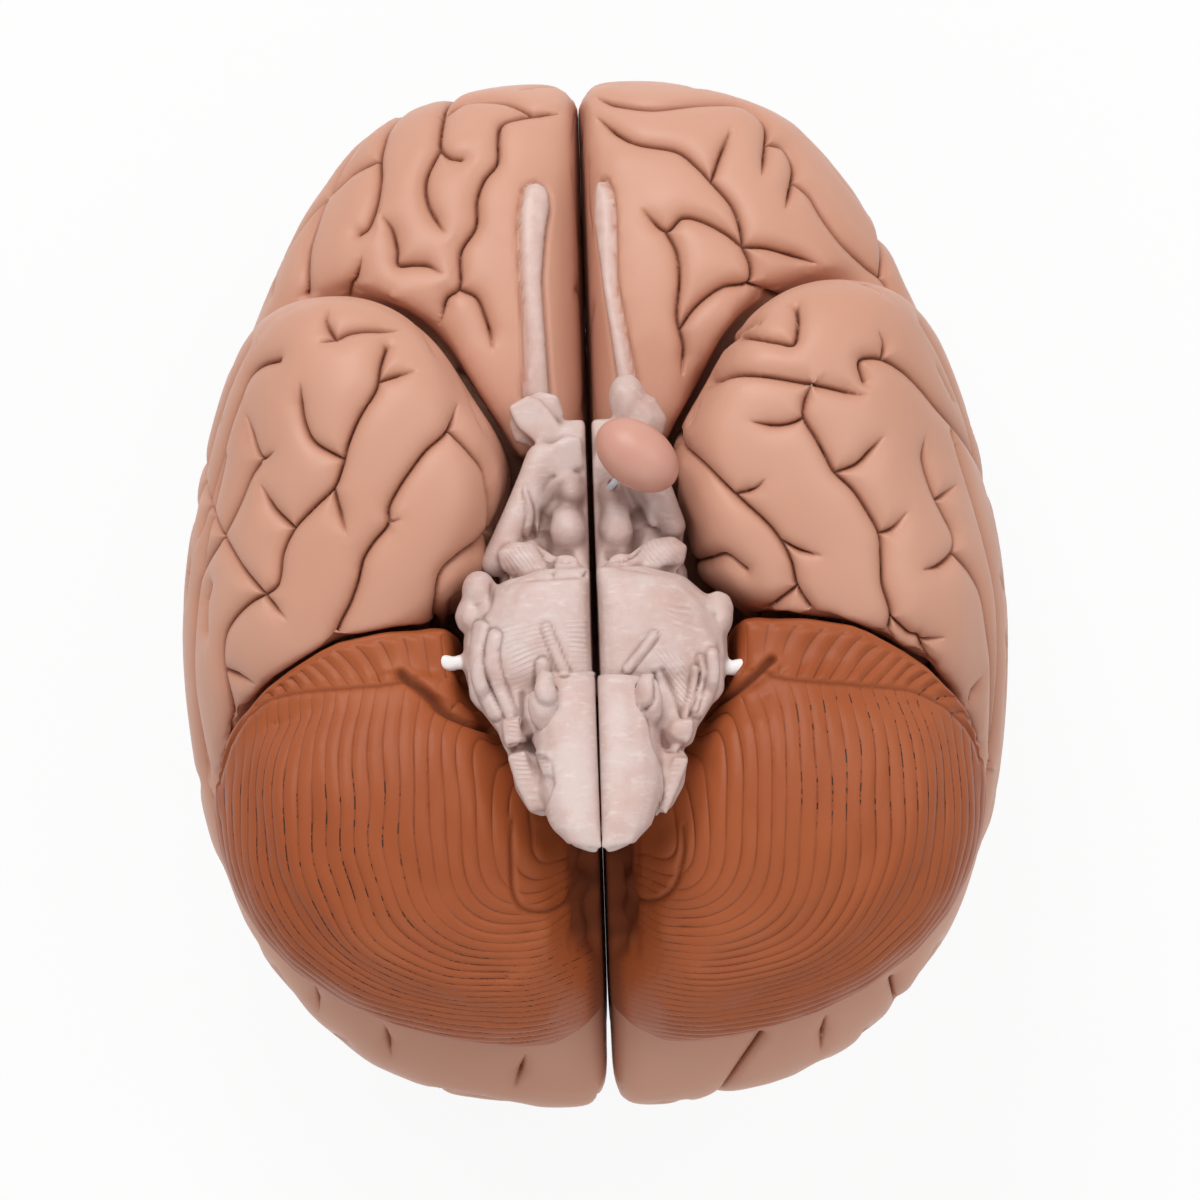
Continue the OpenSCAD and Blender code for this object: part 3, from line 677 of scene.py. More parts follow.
sulcusShape = {
    "sharpest": -1.9, "fill": 1.9,    # of the frame's grooves, which close before the finer ones are cut
    "round": 4.1, "pillow": 1.95,     # how broadly and how deeply the gyri round off, in millimetres
    "narrow": 0.26, "deep": 0.75,     # the crease between them
    "over": 26.0,                     # how far sulci run on around the side
    "winding": 26.0,                  # twice the breadth of a gyrus on the dome
    "twig": 0.6,                      # share of the depth that the dome's finer creases have
    "voxel": 1.3, "lean": 0.01,
    "rounds": (60, 10, 4),            # of smoothing: at the grooves, everywhere, and after making room
    "refined": ((2.9, 1.9), (1.1, 0.6)), "fine": 0.36,      # how near a sulcus the mesh is cut finer
    "stroke": 0.26, "thin": 0.3, "shade": 1.3,              # breadths of the painted shade in and beside a crease
    "stripRise": 1.3, "stripRing": 0.8,
}


def sulcusProfile(distance, shape):
    inward = np.clip(1 - distance / shape["round"], 0, 1)
    pillow = 1 - np.sqrt(1 - inward ** 2)
    return shape["pillow"] * pillow + shape["deep"] * hill(distance, shape["narrow"])


def stripField(points, strip, side, surface, height):
    # distance from the middle of a strip, and its half breadth there
    found, halves = [], []
    for p in curveThrough([(side * p[0], p[1], p[2]) for p in strip], 0.5):
        hit = castFromEye(surface, p, height)
        if hit is not None:
            found.append(hit)
            halves.append(max(p[2], 0.6) / 2)
    away, which = nearest(treeOf(found), points)
    return away, np.array(halves)[which]


# The cerebellum's front edge, which reaches over the temporal lobe, and the level of the shelf there
shelf = {
    "out": [20, 23.5, 33, 41, 47, 53, 57, 61], "edge": [-4.6, -4.9, -5.6, -6.8, -10, -13.7, -17.6, -23],
    "level": [103.6, 103.6, 103.6, 103, 101.4, 99, 96.4, 92],
}
# The temporal lobe's wall beside the pons: where it stands in the frame, and where the photograph has it
ponsWall = {
    "along": [-9, -7.5, -4, -1.5, 1, 5.2, 9.4], "frame": [29, 28, 24.4, 22.9, 21.5, 18.1, 15],
    "seen": [28.4, 26.6, 22.7, 19.8, 18.2, 16.3, 15], "still": 32,
}


def makeRoom(mesh, side):
    # room for the front of the cerebellum, and none beside the pons
    points, _ = read(mesh)
    out, along, up = places(points, side)
    wall, place = (np.interp(along, ponsWall["along"], ponsWall[key]) for key in ("frame", "seen"))
    share = np.clip((ponsWall["still"] - out) / (ponsWall["still"] - wall), 0, 1.2)
    closer = (place - wall) * share * ramp(up, 74, 84) * (along < 9.4) * (along > -12)
    push = np.clip(np.interp(out, shelf["out"], shelf["edge"]) + 0.8 - along, 0, 7)
    points[:, 0] += side * closer * mm
    points[:, 1] += push * ramp(out, 61, 57) * ramp(out, 18, 21) * ramp(up, 78, 88) * mm
    write(mesh, points)


def layLines(surface, sulci, side, cuts, length):
    # a tree of the points of all the sulci on a casting, and their strengths
    laid = []
    for level, lines in sulci:
        for line in lines:
            joinedUp, joined = joinedLine(line, lines)
            found = laidOn(surface, joinedUp, side, level, joined)
            if len(found) > 8:
                laid += runOver(surface, found, length)
    # the frame's own grooves count where the photograph doesn't show the casting
    for point in cuts:
        hit, normal, _, _ = surface.find_nearest(point)
        if normal.dot((eye - hit).normalized()) < 0.35:
            laid.append((hit, 1.0))
    return treeOf([p for p, _ in laid]), np.array([s for _, s in laid])


def cerebrumCasting(node, name, body, side, form, seed, neighbours, shape=sulcusShape):
    strip, height = form.get("strip"), form["sulci"][0][0]
    mesh, cuts, cutAway = closedCasting(node, name, shape)
    points, _ = read(mesh)
    band = np.zeros(len(points), dtype=bool)        # the smooth floor around an olfactory strip
    if strip:
        out, along, up = places(points, side)
        band = (np.abs(out - 7) < 6) & (along > 30) & (along < 71) & (up > 60)
    relax(mesh, shape["rounds"][0], np.maximum(ramp(cutAway, 4.6, 3.4), band))
    relax(mesh, shape["rounds"][1])
    if not strip:
        makeRoom(mesh, side)
        relax(mesh, shape["rounds"][2])
    surface = surfaceOf(mesh)
    lineTree, strength = layLines(surface, form["sulci"], side, cuts, shape["over"])
    others = [surfaceOf(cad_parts[n].data) for n in neighbours]

    def fields():
        points, _ = read(mesh)
        normals = normalsOf(mesh)
        away, which = nearest(lineTree, points)
        winding = wavesDistance(points, normals, seed, shape["winding"] * mm)
        hidden = ramp(facingEye(points, normals), 0.42, 0.12) * ramp(away, 3.0, 6.0)
        hidden *= 0.45 + 0.55 * ramp(np.abs(points[:, 0]) / mm, 0.9, 2.2)       # calmer at the midline
        free = np.array([all(o.find_nearest(Vector(p), 1.6 * mm)[0] is None for o in others)
                         for p in points]) * 1.0
        return points, normals, away, strength[which], winding, hidden * free, free

    def nearLines(near, beside):
        _, _, away, _, winding, hidden, _ = fields()
        return (away < near) | ((winding < beside) & (hidden > 0.2))

    first, second = shape["refined"]
    refine(mesh, nearLines(*first) | band)
    refine(mesh, nearLines(*second))
    relax(mesh, 2)
    refine(mesh, fields()[2] < shape["fine"])
    # the crease's own points lie on its line
    points, _ = read(mesh)
    found = [lineTree.find(p) for p in points]
    pull = ramp(np.array([f[2] for f in found]) / mm, 0.15, 0.05)
    write(mesh, points + (np.array([f[0] for f in found]) - points) * pull[:, None])
    points, normals, away, power, winding, hidden, free = fields()
    twig = hidden * shape["twig"]
    open = np.maximum(free, ramp(away, 2, 0))
    depth = np.maximum(sulcusProfile(away, shape) * power * open, sulcusProfile(winding, shape) * twig)
    # painted shade in each crease, narrow and dark
    crease = np.maximum(hill(away, shape["stroke"]) * power, hill(winding, shape["thin"]) * twig)
    # painted shade beside each sulcus, broader than the crease
    valley = np.maximum(hill(away, shape["shade"]) * power, hill(winding, shape["shade"]) * twig)
    stripShare = np.zeros(len(points))
    if strip:
        gap, half = stripField(points, strip, side, surface, height)
        inside = np.clip(1 - (gap / half) ** 2, 0, 1)
        ring = hill(gap - half - 0.35, 0.42)
        depth = depth * ramp(gap / half, 0.8, 1.2) - shape["stripRise"] * np.sqrt(inside) \
            + shape["stripRing"] * ring
        stripShare = ramp(gap / half, 1.05, 0.9)
        # painted shade in the groove around the strip, and none on the strip
        crease = np.maximum(crease * (1 - stripShare), ring * 0.6)
        valley = valley * (1 - stripShare)
    # the halves lean on each other near the crown, under the open gap
    inner = ramp(np.abs(points[:, 0]) / mm, 1.5, 0.8) * ramp(points[:, 2] / mm, 62, 44)
    points = points - normals * (depth * (1 - inner))[:, None] * mm
    beyond = np.clip(np.abs(points[:, 0]) - shape["lean"] * mm, 0, None)
    points[:, 0] -= inner * np.sign(points[:, 0]) * beyond
    write(mesh, points)
    addFields(mesh, crease=crease, valley=valley, strip=stripShare)
    asPiece(mesh, name, body, node, cerebrumMaterial)


cerebrumCasting("fronto_parietal_right", "frontalLobeRight", "right_half", -1, frontalRight, 11,
                ["temporo_occipital_right", "brainstem_right"])
cerebrumCasting("fronto_parietal_left", "frontalLobeLeft", "left_half", 1, frontalLeft, 12,
                ["temporo_occipital_left", "brainstem_left"])
cerebrumCasting("temporo_occipital_right", "temporalLobeRight", "right_temporal", -1, temporalRight, 13,
                ["fronto_parietal_right", "brainstem_right", "cerebellum_right"])
cerebrumCasting("temporo_occipital_left", "temporalLobeLeft", "left_temporal", 1, temporalLeft, 14,
                ["fronto_parietal_left", "brainstem_left", "cerebellum_left"])

cerebellumShape = {
    "sharpest": -1.1, "fill": 1.8, "voxel": 0.5,
    "rounds": (170, 12, 8),                           # of smoothing: at the cuts, everywhere, after the front
    "pitch": 2.35, "deep": 0.2,                       # the folia behind the ridge, in millimetres
    "frontPitch": 2.5, "frontDeep": 0.45,             # and the short ones in front of it
    "step": 2.0,                                      # of the ridge over the shelf
    "swing": -29,                                     # where the folia start to swing to the midline
    "ownFront": ([20, 28, 34, 42, 50, 56, 61], [-8.5, -7.4, -9.2, -11.8, -15.5, -19.4, -25]),
}
# Places on the cerebellum, as for the sulci: the ridge, then the crease under the flocculus and the
# tonsil's lower edge
cerebellumRight = {
    "ridge": [[29, -13], [34, -13.7], [40, -14], [47, -14.4], [52, -15.4], [56, -18.4], [59, -23],
              [61, -29]],
    "creases": [[[31, -12.2], [27.6, -15], [24.6, -18.1], [21, -20], [17, -21.6]],
                [[14.2, -36], [14.3, -42], [14.2, -47], [12.6, -50.2], [8.5, -50.6], [4.6, -48.2],
                 [2, -44.8]]],
}
cerebellumLeft = {
    "ridge": [[25, -13.6], [30, -14.8], [36, -15.6], [42, -16.3], [50, -17.4], [55, -20], [59, -24],
              [61, -29]],
    "creases": [[[28, -12], [25, -14.6], [21.5, -17.5], [17, -20.6]],
                [[13, -38], [12.6, -43], [11, -47.4], [8, -49.4], [4.4, -48.8], [2, -46]]],
}


def foliaRing(out, down):
    # which of the nested bends between the flank and the midline a place lies on
    low, high = np.zeros(len(out)), np.full(len(out), 90.0)
    for _ in range(22):
        ring = (low + high) / 2
        reach = np.where(ring > 29, 27.6 + (ring - 29) * 0.5, 27.6 - (29 - ring) * 0.6)
        bend = np.interp(ring, [15, 30, 50], [4.5, 4.0, 2.7])
        beyond = (out / np.maximum(ring, 0.1)) ** bend + (down / np.maximum(reach, 0.1)) ** bend > 1
        low, high = np.where(beyond, ring, low), np.where(beyond, high, ring)
    return ring


def ridgeAt(form, out):
    return np.interp(out, *np.transpose(form["ridge"]))


def moveFront(mesh, side, form, shape):
    # the front edge reaches over the temporal lobe, and the shelf behind it steps up to the ridge
    points, _ = read(mesh)
    out, along, up = places(points, side)
    edge, level = (np.interp(out, shelf["out"], shelf[key]) for key in ("edge", "level"))
    own = np.interp(out, *shape["ownFront"])
    reach = ramp(up, 76, 88) * ramp(out, 20, 24) * ramp(out, 64, 60)
    along = along + (edge - own) * np.clip((along - own + 12) / 12, 0, 1) * reach
    points[:, 1] = along * mm
    crest = ridgeAt(form, out)
    share = np.clip((along - crest) / np.maximum(edge - crest, 1), 0, 1)
    least = level + shape["step"] * ramp(crest - along, -1.2, 0.8) - 0.9 * ramp(share, 0.8, 1.0)
    raised = 0.8 * np.logaddexp(up / 0.8, least / 0.8) - up
    points[:, 2] += raised * reach * ramp(up, 80, 90) * ramp(crest - along, 7, 3) * mm
    write(mesh, points)


def foliaAt(points, side, form, seed, shape):
    # a number that grows by one from each folium to the next
    out, along, up = places(points, side)
    wobble = waves(points, seed, 13 * mm, 12)[0] / 12
    ridge = ridgeAt(form, out)
    ring = foliaRing(np.maximum(out - 2, 0), np.maximum(shape["swing"] - along, 0))
    behind = (ring + 0.35 * (114 - up) * ramp(up, 112, 100) + wobble * 0.9) / shape["pitch"]
    slant = np.clip((out - 24) * 0.045, 0, 0.95)
    front = (out - (along - ridge) * slant + wobble * 0.8) / shape["frontPitch"]
    isFront = along > ridge
    return np.where(isFront, front + 0.5, behind + 0.5), isFront, ring


def cerebellumCasting(node, name, body, side, form, seed, shape=cerebellumShape):
    mesh, _, cutAway = closedCasting(node, name, shape)
    relax(mesh, shape["rounds"][0], ramp(cutAway, 4.8, 3.6))
    relax(mesh, shape["rounds"][1])
    moveFront(mesh, side, form, shape)
    relax(mesh, shape["rounds"][2])
    surface = surfaceOf(mesh)
    points, _ = read(mesh)
    normals = normalsOf(mesh)
    out, along, up = places(points, side)

    def lineAway(line):
        laid = laidOn(surface, line, side, 100)
        away, which = nearest(treeOf([p for p, _ in laid]), points)
        return away, np.array([s for _, s in laid])[which]

    folium, isFront, ring = foliaAt(points, side, form, seed, shape)
    gap = np.abs(folium % 1.0 - 0.5)            # 0.5 in the valley
    free = ramp(up, 75.2, 77.0) * ramp(out, 0.9, 2.0)
    ridgeAway, _ = lineAway(form["ridge"])
    (flocculus, _), (tonsil, tonsilPower) = (lineAway(line) for line in form["creases"])
    # the dark pit between the tonsils, and the smooth rounding to the midline below it
    pit = ramp(out, 6.5, 2.5) * ramp(along, -60, -54) * ramp(along, -37, -41)
    inner = ramp(out, 4.2, 1.4) * ramp(along, -38, -42)
    lump = hill(flocculus, 3.4) * ramp(along - np.interp(out, [17, 31], [-21.5, -12.5]), 0, 1.2)
    cut = free * (0.8 + 0.2 * waves(points, seed + 5, 9 * mm, 12)[0] / 3)
    beside = np.where(isFront, ramp(ridgeAway, 0.3, 1.2), 0.3 + 0.7 * ramp(ridgeAway, 0.5, 7))
    cut = np.clip(cut, 0, 1) * beside
    cut *= ramp(np.minimum(flocculus, tonsil), 0.3, 1.5) * (1 - lump)
    cut *= 1 - 0.75 * ramp(out, 11, 5) * ramp(along, -48, -56)
    edge = np.interp(out, shelf["out"], shelf["edge"])
    cut *= 1 - np.maximum(pit, isFront * ramp(edge - along, 1.3, 0.7))
    deep = np.where(isFront, shape["frontDeep"], shape["deep"])
    broad = np.where(isFront, 0.26, 0.13)
    depth = (hill(0.5 - gap, broad) * deep + 0.1 * (1 - ramp(0.5 - gap, 0, 0.5))) * cut
    depth += hill(ridgeAway, 0.6) * 0.4 * isFront
    depth += hill(flocculus, 0.7) * 1.2 - lump * 0.9
    depth += hill(tonsil, 0.45) * 0.6 * tonsilPower
    lumps = waves(points, seed + 9, 5 * mm, 16)[0] / 16
    depth += pit * (2.0 + lumps * 3.2) * ramp(out, 0.6, 1.6)
    write(mesh, points - normals * (depth * ramp(up, 75, 77))[:, None] * mm)
    # the rows of dark specks lie where each half of the photograph has them
    pits = ramp(ring, 24, 32) * ramp(along, -24, -30) if side < 0 \
        else ramp(out, 27, 33) * ramp(along, -40, -34) * ramp(along, -15, -19)
    # painted shade: under the ridge, in the creases by the flocculus and tonsil, in the pit and on the
    # rounding to the midline
    addFields(mesh, folium=folium, cut=cut, pit=pits * free, crease=np.maximum.reduce([
        0.5 * hill(ridgeAway, 0.7), 0.9 * hill(flocculus, 0.8), 0.7 * hill(tonsil, 0.35),
        pit * (0.75 - 0.5 * np.clip(lumps, -0.5, 0.5)), 0.6 * inner]))
    asPiece(mesh, name, body, node, cerebellumMaterial)


cerebellumCasting("cerebellum_right", "cerebellumHalfRight", "right_cerebellum", -1, cerebellumRight, 21)
cerebellumCasting("cerebellum_left", "cerebellumHalfLeft", "left_cerebellum", 1, cerebellumLeft, 22)

# The brainstem's forms. A place is its distance from the midline and its place along the brain as
# seen on a level plane at 100 mm, then its real height. Lumps have half sizes and a turn, tubes a
# radius at each point, slabs an outline with a low and a high level. Cords are raised lines and
# grooves cut ones, with a half breadth and a height; plates are raised outlines with a height.
# Fibres are outlines with the turn and the pitch of their lines. Recesses are outlines that get painted
# shade, with the share of that painted shade.
stemRight = {
    "lumps": [([18.2, 0.6, 101], [2.8, 3.4, 3.8], 0), ([19.6, -2.2, 101], [2.0, 2.4, 3.4], 0),
              ([3.8, 10.0, 92.6], [3.2, 4.0, 4.6], 0), ([2.9, 16.4, 92.6], [2.4, 2.6, 3.0], 0),
              ([4.3, 4.6, 99.6], [2.3, 1.4, 2.6], 0), ([22.4, -10.7, 102.6], [2.4, 1.2, 1.1], -18),
              ([23.9, -10.1, 102.8], [1.3, 1.0, 1.0], 10), ([23.4, -11.2, 102.8], [1.5, 0.8, 1.0], 0),
              ([24.6, -10.8, 102.7], [1.1, 0.8, 0.9], -30)],
    "tubes": [[[7.6, 21.4, 91, 2.6], [10.3, 15.4, 92, 2.5], [13.2, 9.6, 93, 2.4], [15.6, 5, 93.6, 2.3]],
              [[3.4, 18.6, 92.6, 1.0], [6.4, 16.2, 92.6, 0.9], [8.0, 13, 92.8, 0.8], [8.6, 10, 93, 0.7]]],
    "slabs": [([[12.6, 29.5], [9.3, 31.2], [7.6, 30.6], [5.6, 28.2], [4.4, 25.9], [4.8, 24.5], [7, 23.2],
                [8.2, 23.6], [11.1, 26.2]], 82, 90.2),
              ([[7.6, 22.4], [6.6, 22.8], [3.5, 24.6], [1.1, 24.4], [0.9, 19.4], [3.7, 19.2], [6.2, 18.4],
                [7.4, 20]], 84, 93.2),
              ([[15.1, -19.6], [11.8, -19], [12, -23.5], [14.5, -24.1]], 102, 115.4),
              ([[14.4, -25.1], [11.4, -24.6], [10, -30.3], [8.9, -33.8], [11.1, -34.2], [13.1, -30]],
               104, 116.6)],
    "cords": [([[18.2, -5.2], [19, -9.5], [18.4, -14.4], [16.4, -18.9]], 1.15, 0.6),
              ([[16.1, -6.6], [16.6, -9.6], [15.9, -13.7], [14.1, -18.6]], 1.1, 0.6),
              ([[7.7, -5.7], [6.4, -9.3], [5, -12.9]], 0.8, 0.3),
              ([[8.5, -11.4], [8.5, -13.6], [8.2, -16.6]], 1.1, 1.0),
              ([[10.4, 16.4], [9.6, 12.8], [10.2, 9.4]], 0.5, 0.5)],
    "grooves": [([[13.2, 2.4], [8, 2.6], [0.8, 2.7]], 0.5, 0.7),
                ([[16, 1.6], [16.6, -1.4], [17.9, -3.4]], 0.4, 0.5),
                ([[11.9, -15.9], [12, -19.4], [11.4, -22], [10, -25.2]], 0.5, 0.6),
                ([[15.2, -24.5], [11.2, -24.2]], 0.4, 0.7),
                ([[7.4, 12.6], [7.9, 9.6], [6.6, 6.2], [3.6, 5.4]], 0.9, 1.2),
                ([[9.6, 9.5], [7.7, 7], [6.4, 3.4]], 0.45, 0.6)],
    "plates": [([[8.1, -12.8], [0.4, -12.8], [0.4, -41], [5.8, -39.6], [8.7, -35.4], [6.9, -30.8],
                 [7.2, -26.9], [9.6, -25.4], [11.6, -19.5], [11.5, -16.5], [9.4, -15.4]], 0.7),
               ([[9.8, -25.4], [7.2, -25.5], [7.3, -29.2], [8.7, -29.1]], 0.6)],
    "fibres": [([[15.4, -4.4], [7, -4.2], [5.4, -9], [9, -12.4], [13.4, -17.6], [14.4, -11]], -13, 0.85),
               ([[5, -4.2], [0.8, -4.2], [0.8, -12.2], [4.2, -12.3]], -1, 0.8),
               ([[15.4, 3.4], [14.6, 7], [10.9, 9], [8.7, 7.8], [6.9, 3.2]], 54, 0.75),
               ([[14.5, -25.3], [11.3, -24.8], [9.2, -33.8], [11.1, -34.2], [13.2, -30]], 8, 0.9),
               ([[9.6, -25.6], [7.3, -25.7], [7.4, -29], [8.6, -28.9]], 4, 0.6),
               ([[14.9, -20], [12, -19.4], [12.2, -23.3], [14.3, -23.8]], 6, 0.7)],
    "recess": [([[9.4, 9.2], [7.6, 17.4], [1, 18.4], [0.8, 3.4], [6.8, 3.4]], 1.0)],
    "bit": [23.6, -10.7],
}
stemLeft = {
    "lumps": [([6.5, 30, 85.4], [3.2, 4.7, 4.6], 8), ([20.2, -4.8, 102], [1.9, 3.0, 3.6], 0),
              ([18.4, -3.6, 102.6], [1.7, 2.0, 3.0], 0), ([4.1, 9.4, 92.4], [2.9, 3.5, 4.2], 0),
              ([3.6, 12.9, 91.8], [2.1, 2.0, 3.2], 0), ([21.6, -12.9, 102.6], [2.2, 1.3, 1.1], -10),
              ([22.8, -12.4, 102.8], [1.4, 1.1, 1.0], 15), ([23.1, -13.2, 102.8], [1.5, 0.9, 1.0], -20)],
    "tubes": [[[9.2, 20.4, 91, 2.2], [11.2, 15.2, 92, 2.2], [13, 10, 93, 2.1]],
              [[6.2, 17.6, 92.6, 0.7], [8.1, 13.7, 93, 0.7], [9.8, 10.2, 93.4, 0.6]],
              [[4.9, 15, 92.8, 0.5], [6.6, 12.2, 93, 0.5], [7.9, 9.7, 93.2, 0.5]],
              [[0.9, 15.2, 91.8, 0.5], [2.1, 15.4, 91.8, 0.5], [2, 16.9, 91.8, 0.5], [0.9, 17.1, 91.8, 0.5]]],
    "slabs": [([[1, 24.6], [2.4, 24.8], [4.2, 22.8], [4.4, 19.2], [1, 19]], 84, 92.6),
              ([[11.5, -26.2], [14.2, -26.5], [12, -31.6], [10.2, -35.2], [9.2, -34.4], [10.4, -31]],
               104, 116.8),
              ([[15, -20.6], [12.6, -20.4], [12.4, -23.4], [13.8, -24.4], [14.8, -22.8]], 102, 114.2)],
    "cords": [([[9.4, -7.4], [7.4, -9.8], [5, -12.6]], 0.7, 0.45),
              ([[18.6, -10.6], [18.3, -15.6], [16.1, -19.7]], 1.0, 0.6),
              ([[15.9, -12.9], [15.2, -16.9], [14.1, -19.8]], 0.55, 0.6),
              ([[16.7, -11.2], [17, -14.6], [15.2, -19.3]], 0.5, 0.5)],
    "grooves": [([[4.4, 4.2], [8.6, 3.2], [13.4, 3.2]], 0.5, 0.6),
                ([[9.2, -13.6], [9.2, -17.4], [7.5, -18.9]], 0.4, 0.55),
                ([[10.6, -13], [12.4, -16.6], [13.4, -20]], 0.5, 0.6),
                ([[11, -25.6], [15, -25.9]], 0.4, 0.7),
                ([[7.2, 12.4], [7.6, 8.8], [5.6, 5.6], [2.2, 5.8]], 0.8, 1.1)],
    "plates": [([[9.1, -13.8], [0.4, -13.6], [0.4, -41], [6, -39.8], [9.6, -35], [9.9, -30], [8.2, -25],
                 [7.3, -19], [9, -17.8]], 0.75)],
    "fibres": [([[9, -8.6], [14.6, -11], [15.4, -18], [13, -19.6], [10, -14]], -50, 0.7),
               ([[15.6, -2.2], [11, -2.2], [12, -6.2], [16.6, -8]], -24, 0.9),
               ([[11.6, -26.4], [14.2, -26.7], [11.4, -32.4], [10.1, -35], [9.6, -33]], 8, 0.9),
               ([[5, 4.8], [10, 9], [14, 7.6], [14.3, 3]], -52, 0.75)],
    "recess": [([[8.8, 8.8], [9.4, 14], [7, 19], [1, 18.6], [0.8, 3.2], [4.8, 4]], 1.0)],
    "bit": [22.9, -12.9],
}
stemShape = {"voxel": 0.36, "level": 100 * mm, "skin": 0.1, "topRoom": 0.9 * mm, "topPress": 0.6}


def asSeen(place, side):
    # the real place of one that is seen on the level plane
    height = place[2] * mm
    share = (eye[2] - height) / (eye[2] - stemShape["level"])
    return Vector((side * place[0] * share * mm, place[1] * share * mm, height))


def addLump(bm, side, place, sizes, turn):
    made = bmesh.ops.create_icosphere(bm, subdivisions=3, radius=1)["verts"]
    bmesh.ops.scale(bm, verts=made, vec=[size * mm for size in sizes])
    bmesh.ops.rotate(bm, verts=made, matrix=Matrix.Rotation(math.radians(side * turn), 3, "Z"))
    bmesh.ops.translate(bm, verts=made, vec=asSeen(place, side))


def addSlab(bm, side, outline, low, high):
    corners = [bm.verts.new(asSeen([p[0], p[1], low], side)) for p in outline]
    foot = bm.faces.new(corners)
    made = bmesh.ops.extrude_face_region(bm, geom=[foot])["geom"]
    raised = [item for item in made if isinstance(item, bmesh.types.BMVert)]
    bmesh.ops.translate(bm, verts=raised, vec=(0, 0, (high - low) * mm))


def segmentAway(flat, a, b):
    # distance of each place on the plane from the straight line between two others
    way = b - a
    share = np.clip(((flat - a) @ way) / max(way @ way, 1e-9), 0, 1)
    return np.linalg.norm(flat - a - share[:, None] * way, axis=1)


def lineField(flat, line):
    # distance of each place on the plane from a smooth line
    curve = np.array([p[:] for p in curveThrough(line, 0.6)])
    away = np.full(len(flat), 99.0)
    for a, b in zip(curve[:-1], curve[1:]):
        away = np.minimum(away, segmentAway(flat, a, b))
    return away


def outlineField(flat, outline):
    # how far each place is inside an outline, negative outside it
    corners = np.array(outline, dtype=float)
    away = np.full(len(flat), 99.0)
    inside = np.zeros(len(flat), dtype=bool)
    for a, b in zip(corners, np.roll(corners, -1, axis=0)):
        away = np.minimum(away, segmentAway(flat, a, b))
        crosses = (a[1] > flat[:, 1]) != (b[1] > flat[:, 1])
        rise = b[1] - a[1] if abs(b[1] - a[1]) > 1e-9 else 1e-9
        inside ^= crosses & (flat[:, 0] < a[0] + (flat[:, 1] - a[1]) / rise * (b[0] - a[0]))
    return np.where(inside, away, -away)


def brainstemCasting(node, name, body, side, forms, seed, shape=stemShape):
    bm = mergedCopy(node)
    for lump in forms["lumps"]:
        addLump(bm, side, *lump)
    for tube in forms["tubes"]:
        for p in curveThrough(tube, 0.5):
            addLump(bm, side, p[:3], [p[3]] * 3, 0)
    for slab in forms["slabs"]:
        addSlab(bm, side, *slab)
    bmesh.ops.recalc_face_normals(bm, faces=bm.faces)
    mesh = remeshed(bm, name, shape["voxel"] * mm)
    relax(mesh, 7)
    points, _ = read(mesh)
    normals = normalsOf(mesh)
    share = (eye[2] - shape["level"]) / (eye[2] - points[:, 2])
    flat = np.column_stack([side * points[:, 0] * share, points[:, 1] * share]) / mm
    seen = ramp(facingEye(points, normals), 0.05, 0.3)
    lift = np.zeros(len(points))
    for outline, height in forms["plates"]:
        lift += ramp(outlineField(flat, outline), -0.25, 0.25) * height
    for line, half, height in forms["cords"]:
        away = lineField(flat, line)
        lift += np.sqrt(np.clip(1 - (away / half) ** 2, 0, 1)) * height - hill(away - half - 0.2, 0.25) * 0.25
    for line, half, height in forms["grooves"]:
        lift -= hill(lineField(flat, line), half) * height
    fibre, fibreShare = np.zeros(len(points)), np.zeros(len(points))
    bend = waves(points, seed, 7 * mm, 12)[0] / 12
    for outline, turn, pitch in forms["fibres"]:
        inside = ramp(outlineField(flat, outline), 0, 0.7)
        angle = math.radians(turn)
        across = (flat[:, 1] * math.cos(angle) - flat[:, 0] * math.sin(angle)) / pitch + bend * 1.3
        fibre = np.where(inside > 0, across, fibre)
        fibreShare = np.maximum(fibreShare, inside)
    uneven = waves(points, seed + 3, 4 * mm, 24)[0] / 24
    skin = shape["skin"] * ramp(np.abs(points[:, 0]) / mm, 0.7, 1.4)
    points = points + normals * ((lift * seen + uneven * skin) * mm)[:, None]
    # the top stays inside the part's box
    points[:, 2] -= shape["topPress"] * np.clip(points[:, 2] - cadHigh[2] + shape["topRoom"], 0, None)
    write(mesh, points)
    # painted shade goes in the hollows under the smoothed surface and in the recess outlines, fading out
    # above about 94 to 96 mm
    hollow = hollows(mesh, 26)
    recess = np.zeros(len(points))
    for outline, height in forms["recess"]:
        recess = np.maximum(recess, ramp(outlineField(flat, outline), -0.6, 0.8) * height)
    recess *= ramp(points[:, 2] / mm, 96.2, 93.6)
    away = np.linalg.norm(flat - np.array(forms["bit"]), axis=1)
    # painted shade: the hollows and the recess, darker in the deepest hollows
    addFields(mesh, valley=np.clip(ramp(hollow, 0.03, 0.3) * 0.9 + recess * 0.95, 0, 1) * seen,
              crease=ramp(hollow, 0.22, 0.7) * seen, fibre=fibre,
              fibreShare=fibreShare * seen * (0.6 + 0.4 * np.clip(uneven * 3, -1, 1)),
              bit=ramp(away, 2.6, 2.1))
    asPiece(mesh, name, body, node, brainstemMaterial)


brainstemCasting("brainstem_right", "brainstemHalfRight", "right_stem", -1, stemRight, 31)
brainstemCasting("brainstem_left", "brainstemHalfLeft", "left_stem", 1, stemLeft, 32)

glandPaint = {"vinyl": (198, 141, 124), "pale": (205, 151, 134)}


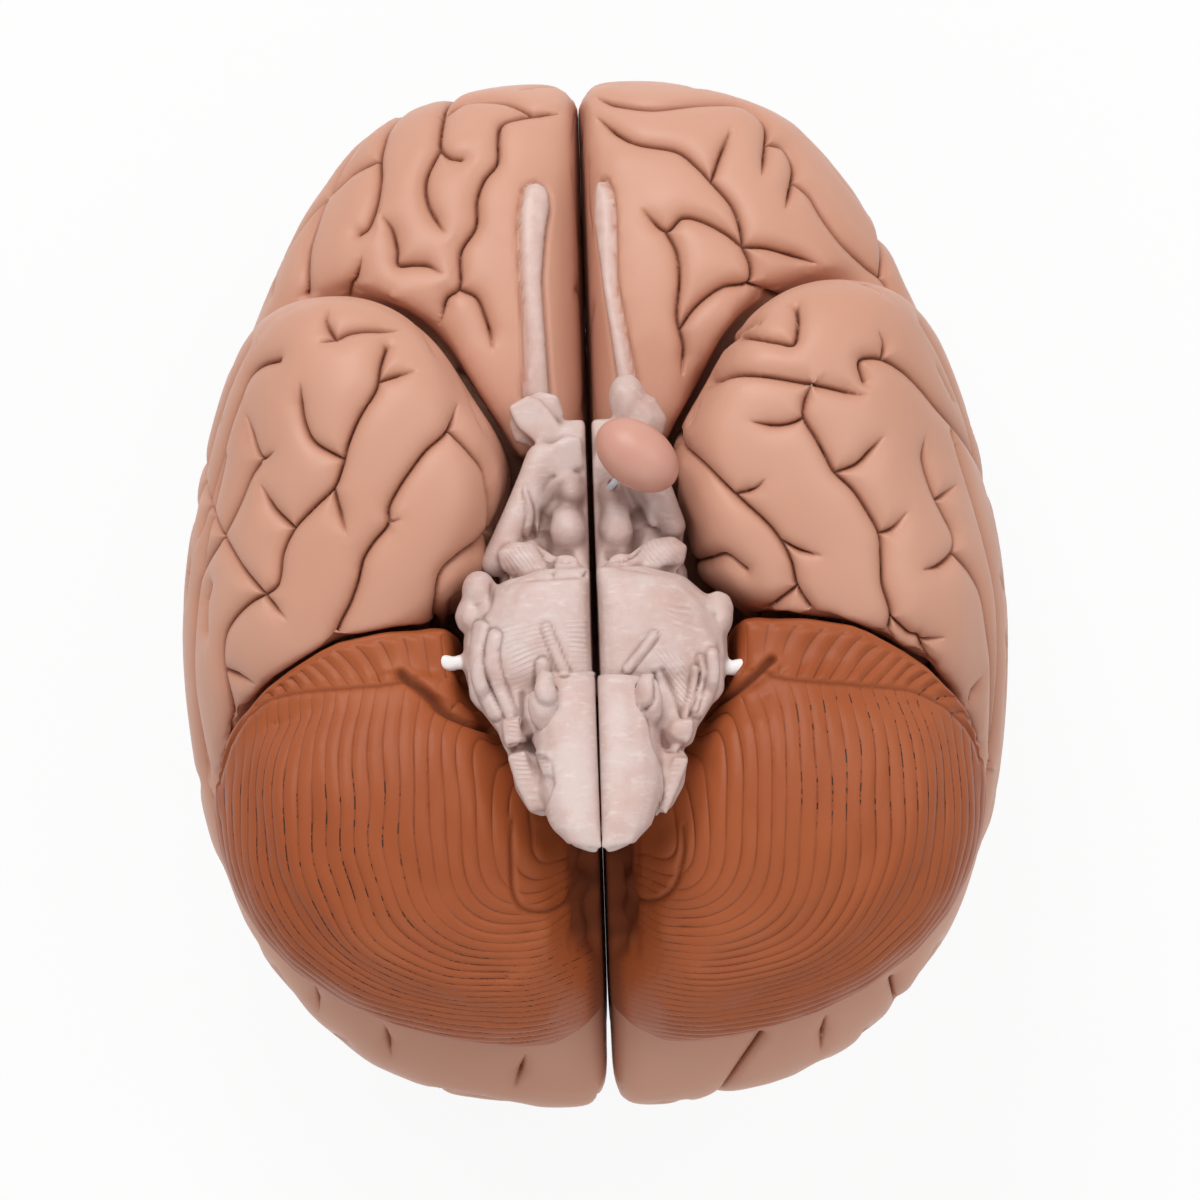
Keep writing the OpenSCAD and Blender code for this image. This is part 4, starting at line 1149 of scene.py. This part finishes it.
def glandVinyl(paint):
    s = Shader("glandVinyl")
    base = s.patches(90, 2, paint["vinyl"], paint["pale"])
    return s.finish(base, 0.38, s.bump(s.noise(1200, 2), 0.05, 0.2 * mm), Specular_IOR_Level=0.4)


def pinSteel(name, colour, roughness, metallic):
    s = Shader(name)
    streak = s.noise(1500, 2, 0.5, (1, 1, 0.1))
    base = s.mix(s.ranged(streak, 0.3, 0.7), colour, tuple(min(255, c + 14) for c in colour))
    return s.finish(base, s.ranged(streak, 0.3, 0.7, roughness, roughness + 0.12), None, Metallic=metallic)


glandShape = {"length": 14.6 * mm, "width": 10.2 * mm, "turn": -38}
low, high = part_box("pituitary_gland")
bm = bmesh.new()
bmesh.ops.create_uvsphere(bm, u_segments=64, v_segments=40, radius=0.5)
bmesh.ops.scale(bm, verts=bm.verts, vec=(glandShape["length"], glandShape["width"], glandShape["width"]))
bmesh.ops.rotate(bm, verts=bm.verts, matrix=Matrix.Rotation(math.radians(glandShape["turn"]), 3, "Z"))
bmesh.ops.translate(bm, verts=bm.verts, vec=(low + high) / 2)
asPiece(meshFrom(bm, "gland"), "gland", "left_stem", "pituitary_gland", glandVinyl(glandPaint))

glandPinShape = {"foot": (1.3, 14.6, 90), "radius": 0.55 * mm}      # it leans towards the midline
pinPaint = {"coated": (214, 222, 232), "steel": (150, 153, 158)}
foot, top = Vector(glandPinShape["foot"]) * mm, (low + high) / 2
bm = bmesh.new()
bmesh.ops.create_cone(bm, cap_ends=True, segments=40, radius1=glandPinShape["radius"],
                      radius2=glandPinShape["radius"], depth=(top - foot).length)
bmesh.ops.rotate(bm, verts=bm.verts, matrix=(top - foot).to_track_quat("Z", "Y").to_matrix())
bmesh.ops.translate(bm, verts=bm.verts, vec=(foot + top) / 2)
asPiece(meshFrom(bm, "pin"), "glandPin", "left_stem", "pituitary_pin",
        pinSteel("coatedPin", pinPaint["coated"], 0.35, 0.0))

steel = pinSteel("pinSteel", pinPaint["steel"], 0.3, 1.0)
for node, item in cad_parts.items():
    if "pin" in node and node != "pituitary_pin":
        item.data.materials.clear()
        item.data.materials.append(steel)
print("pins painted")
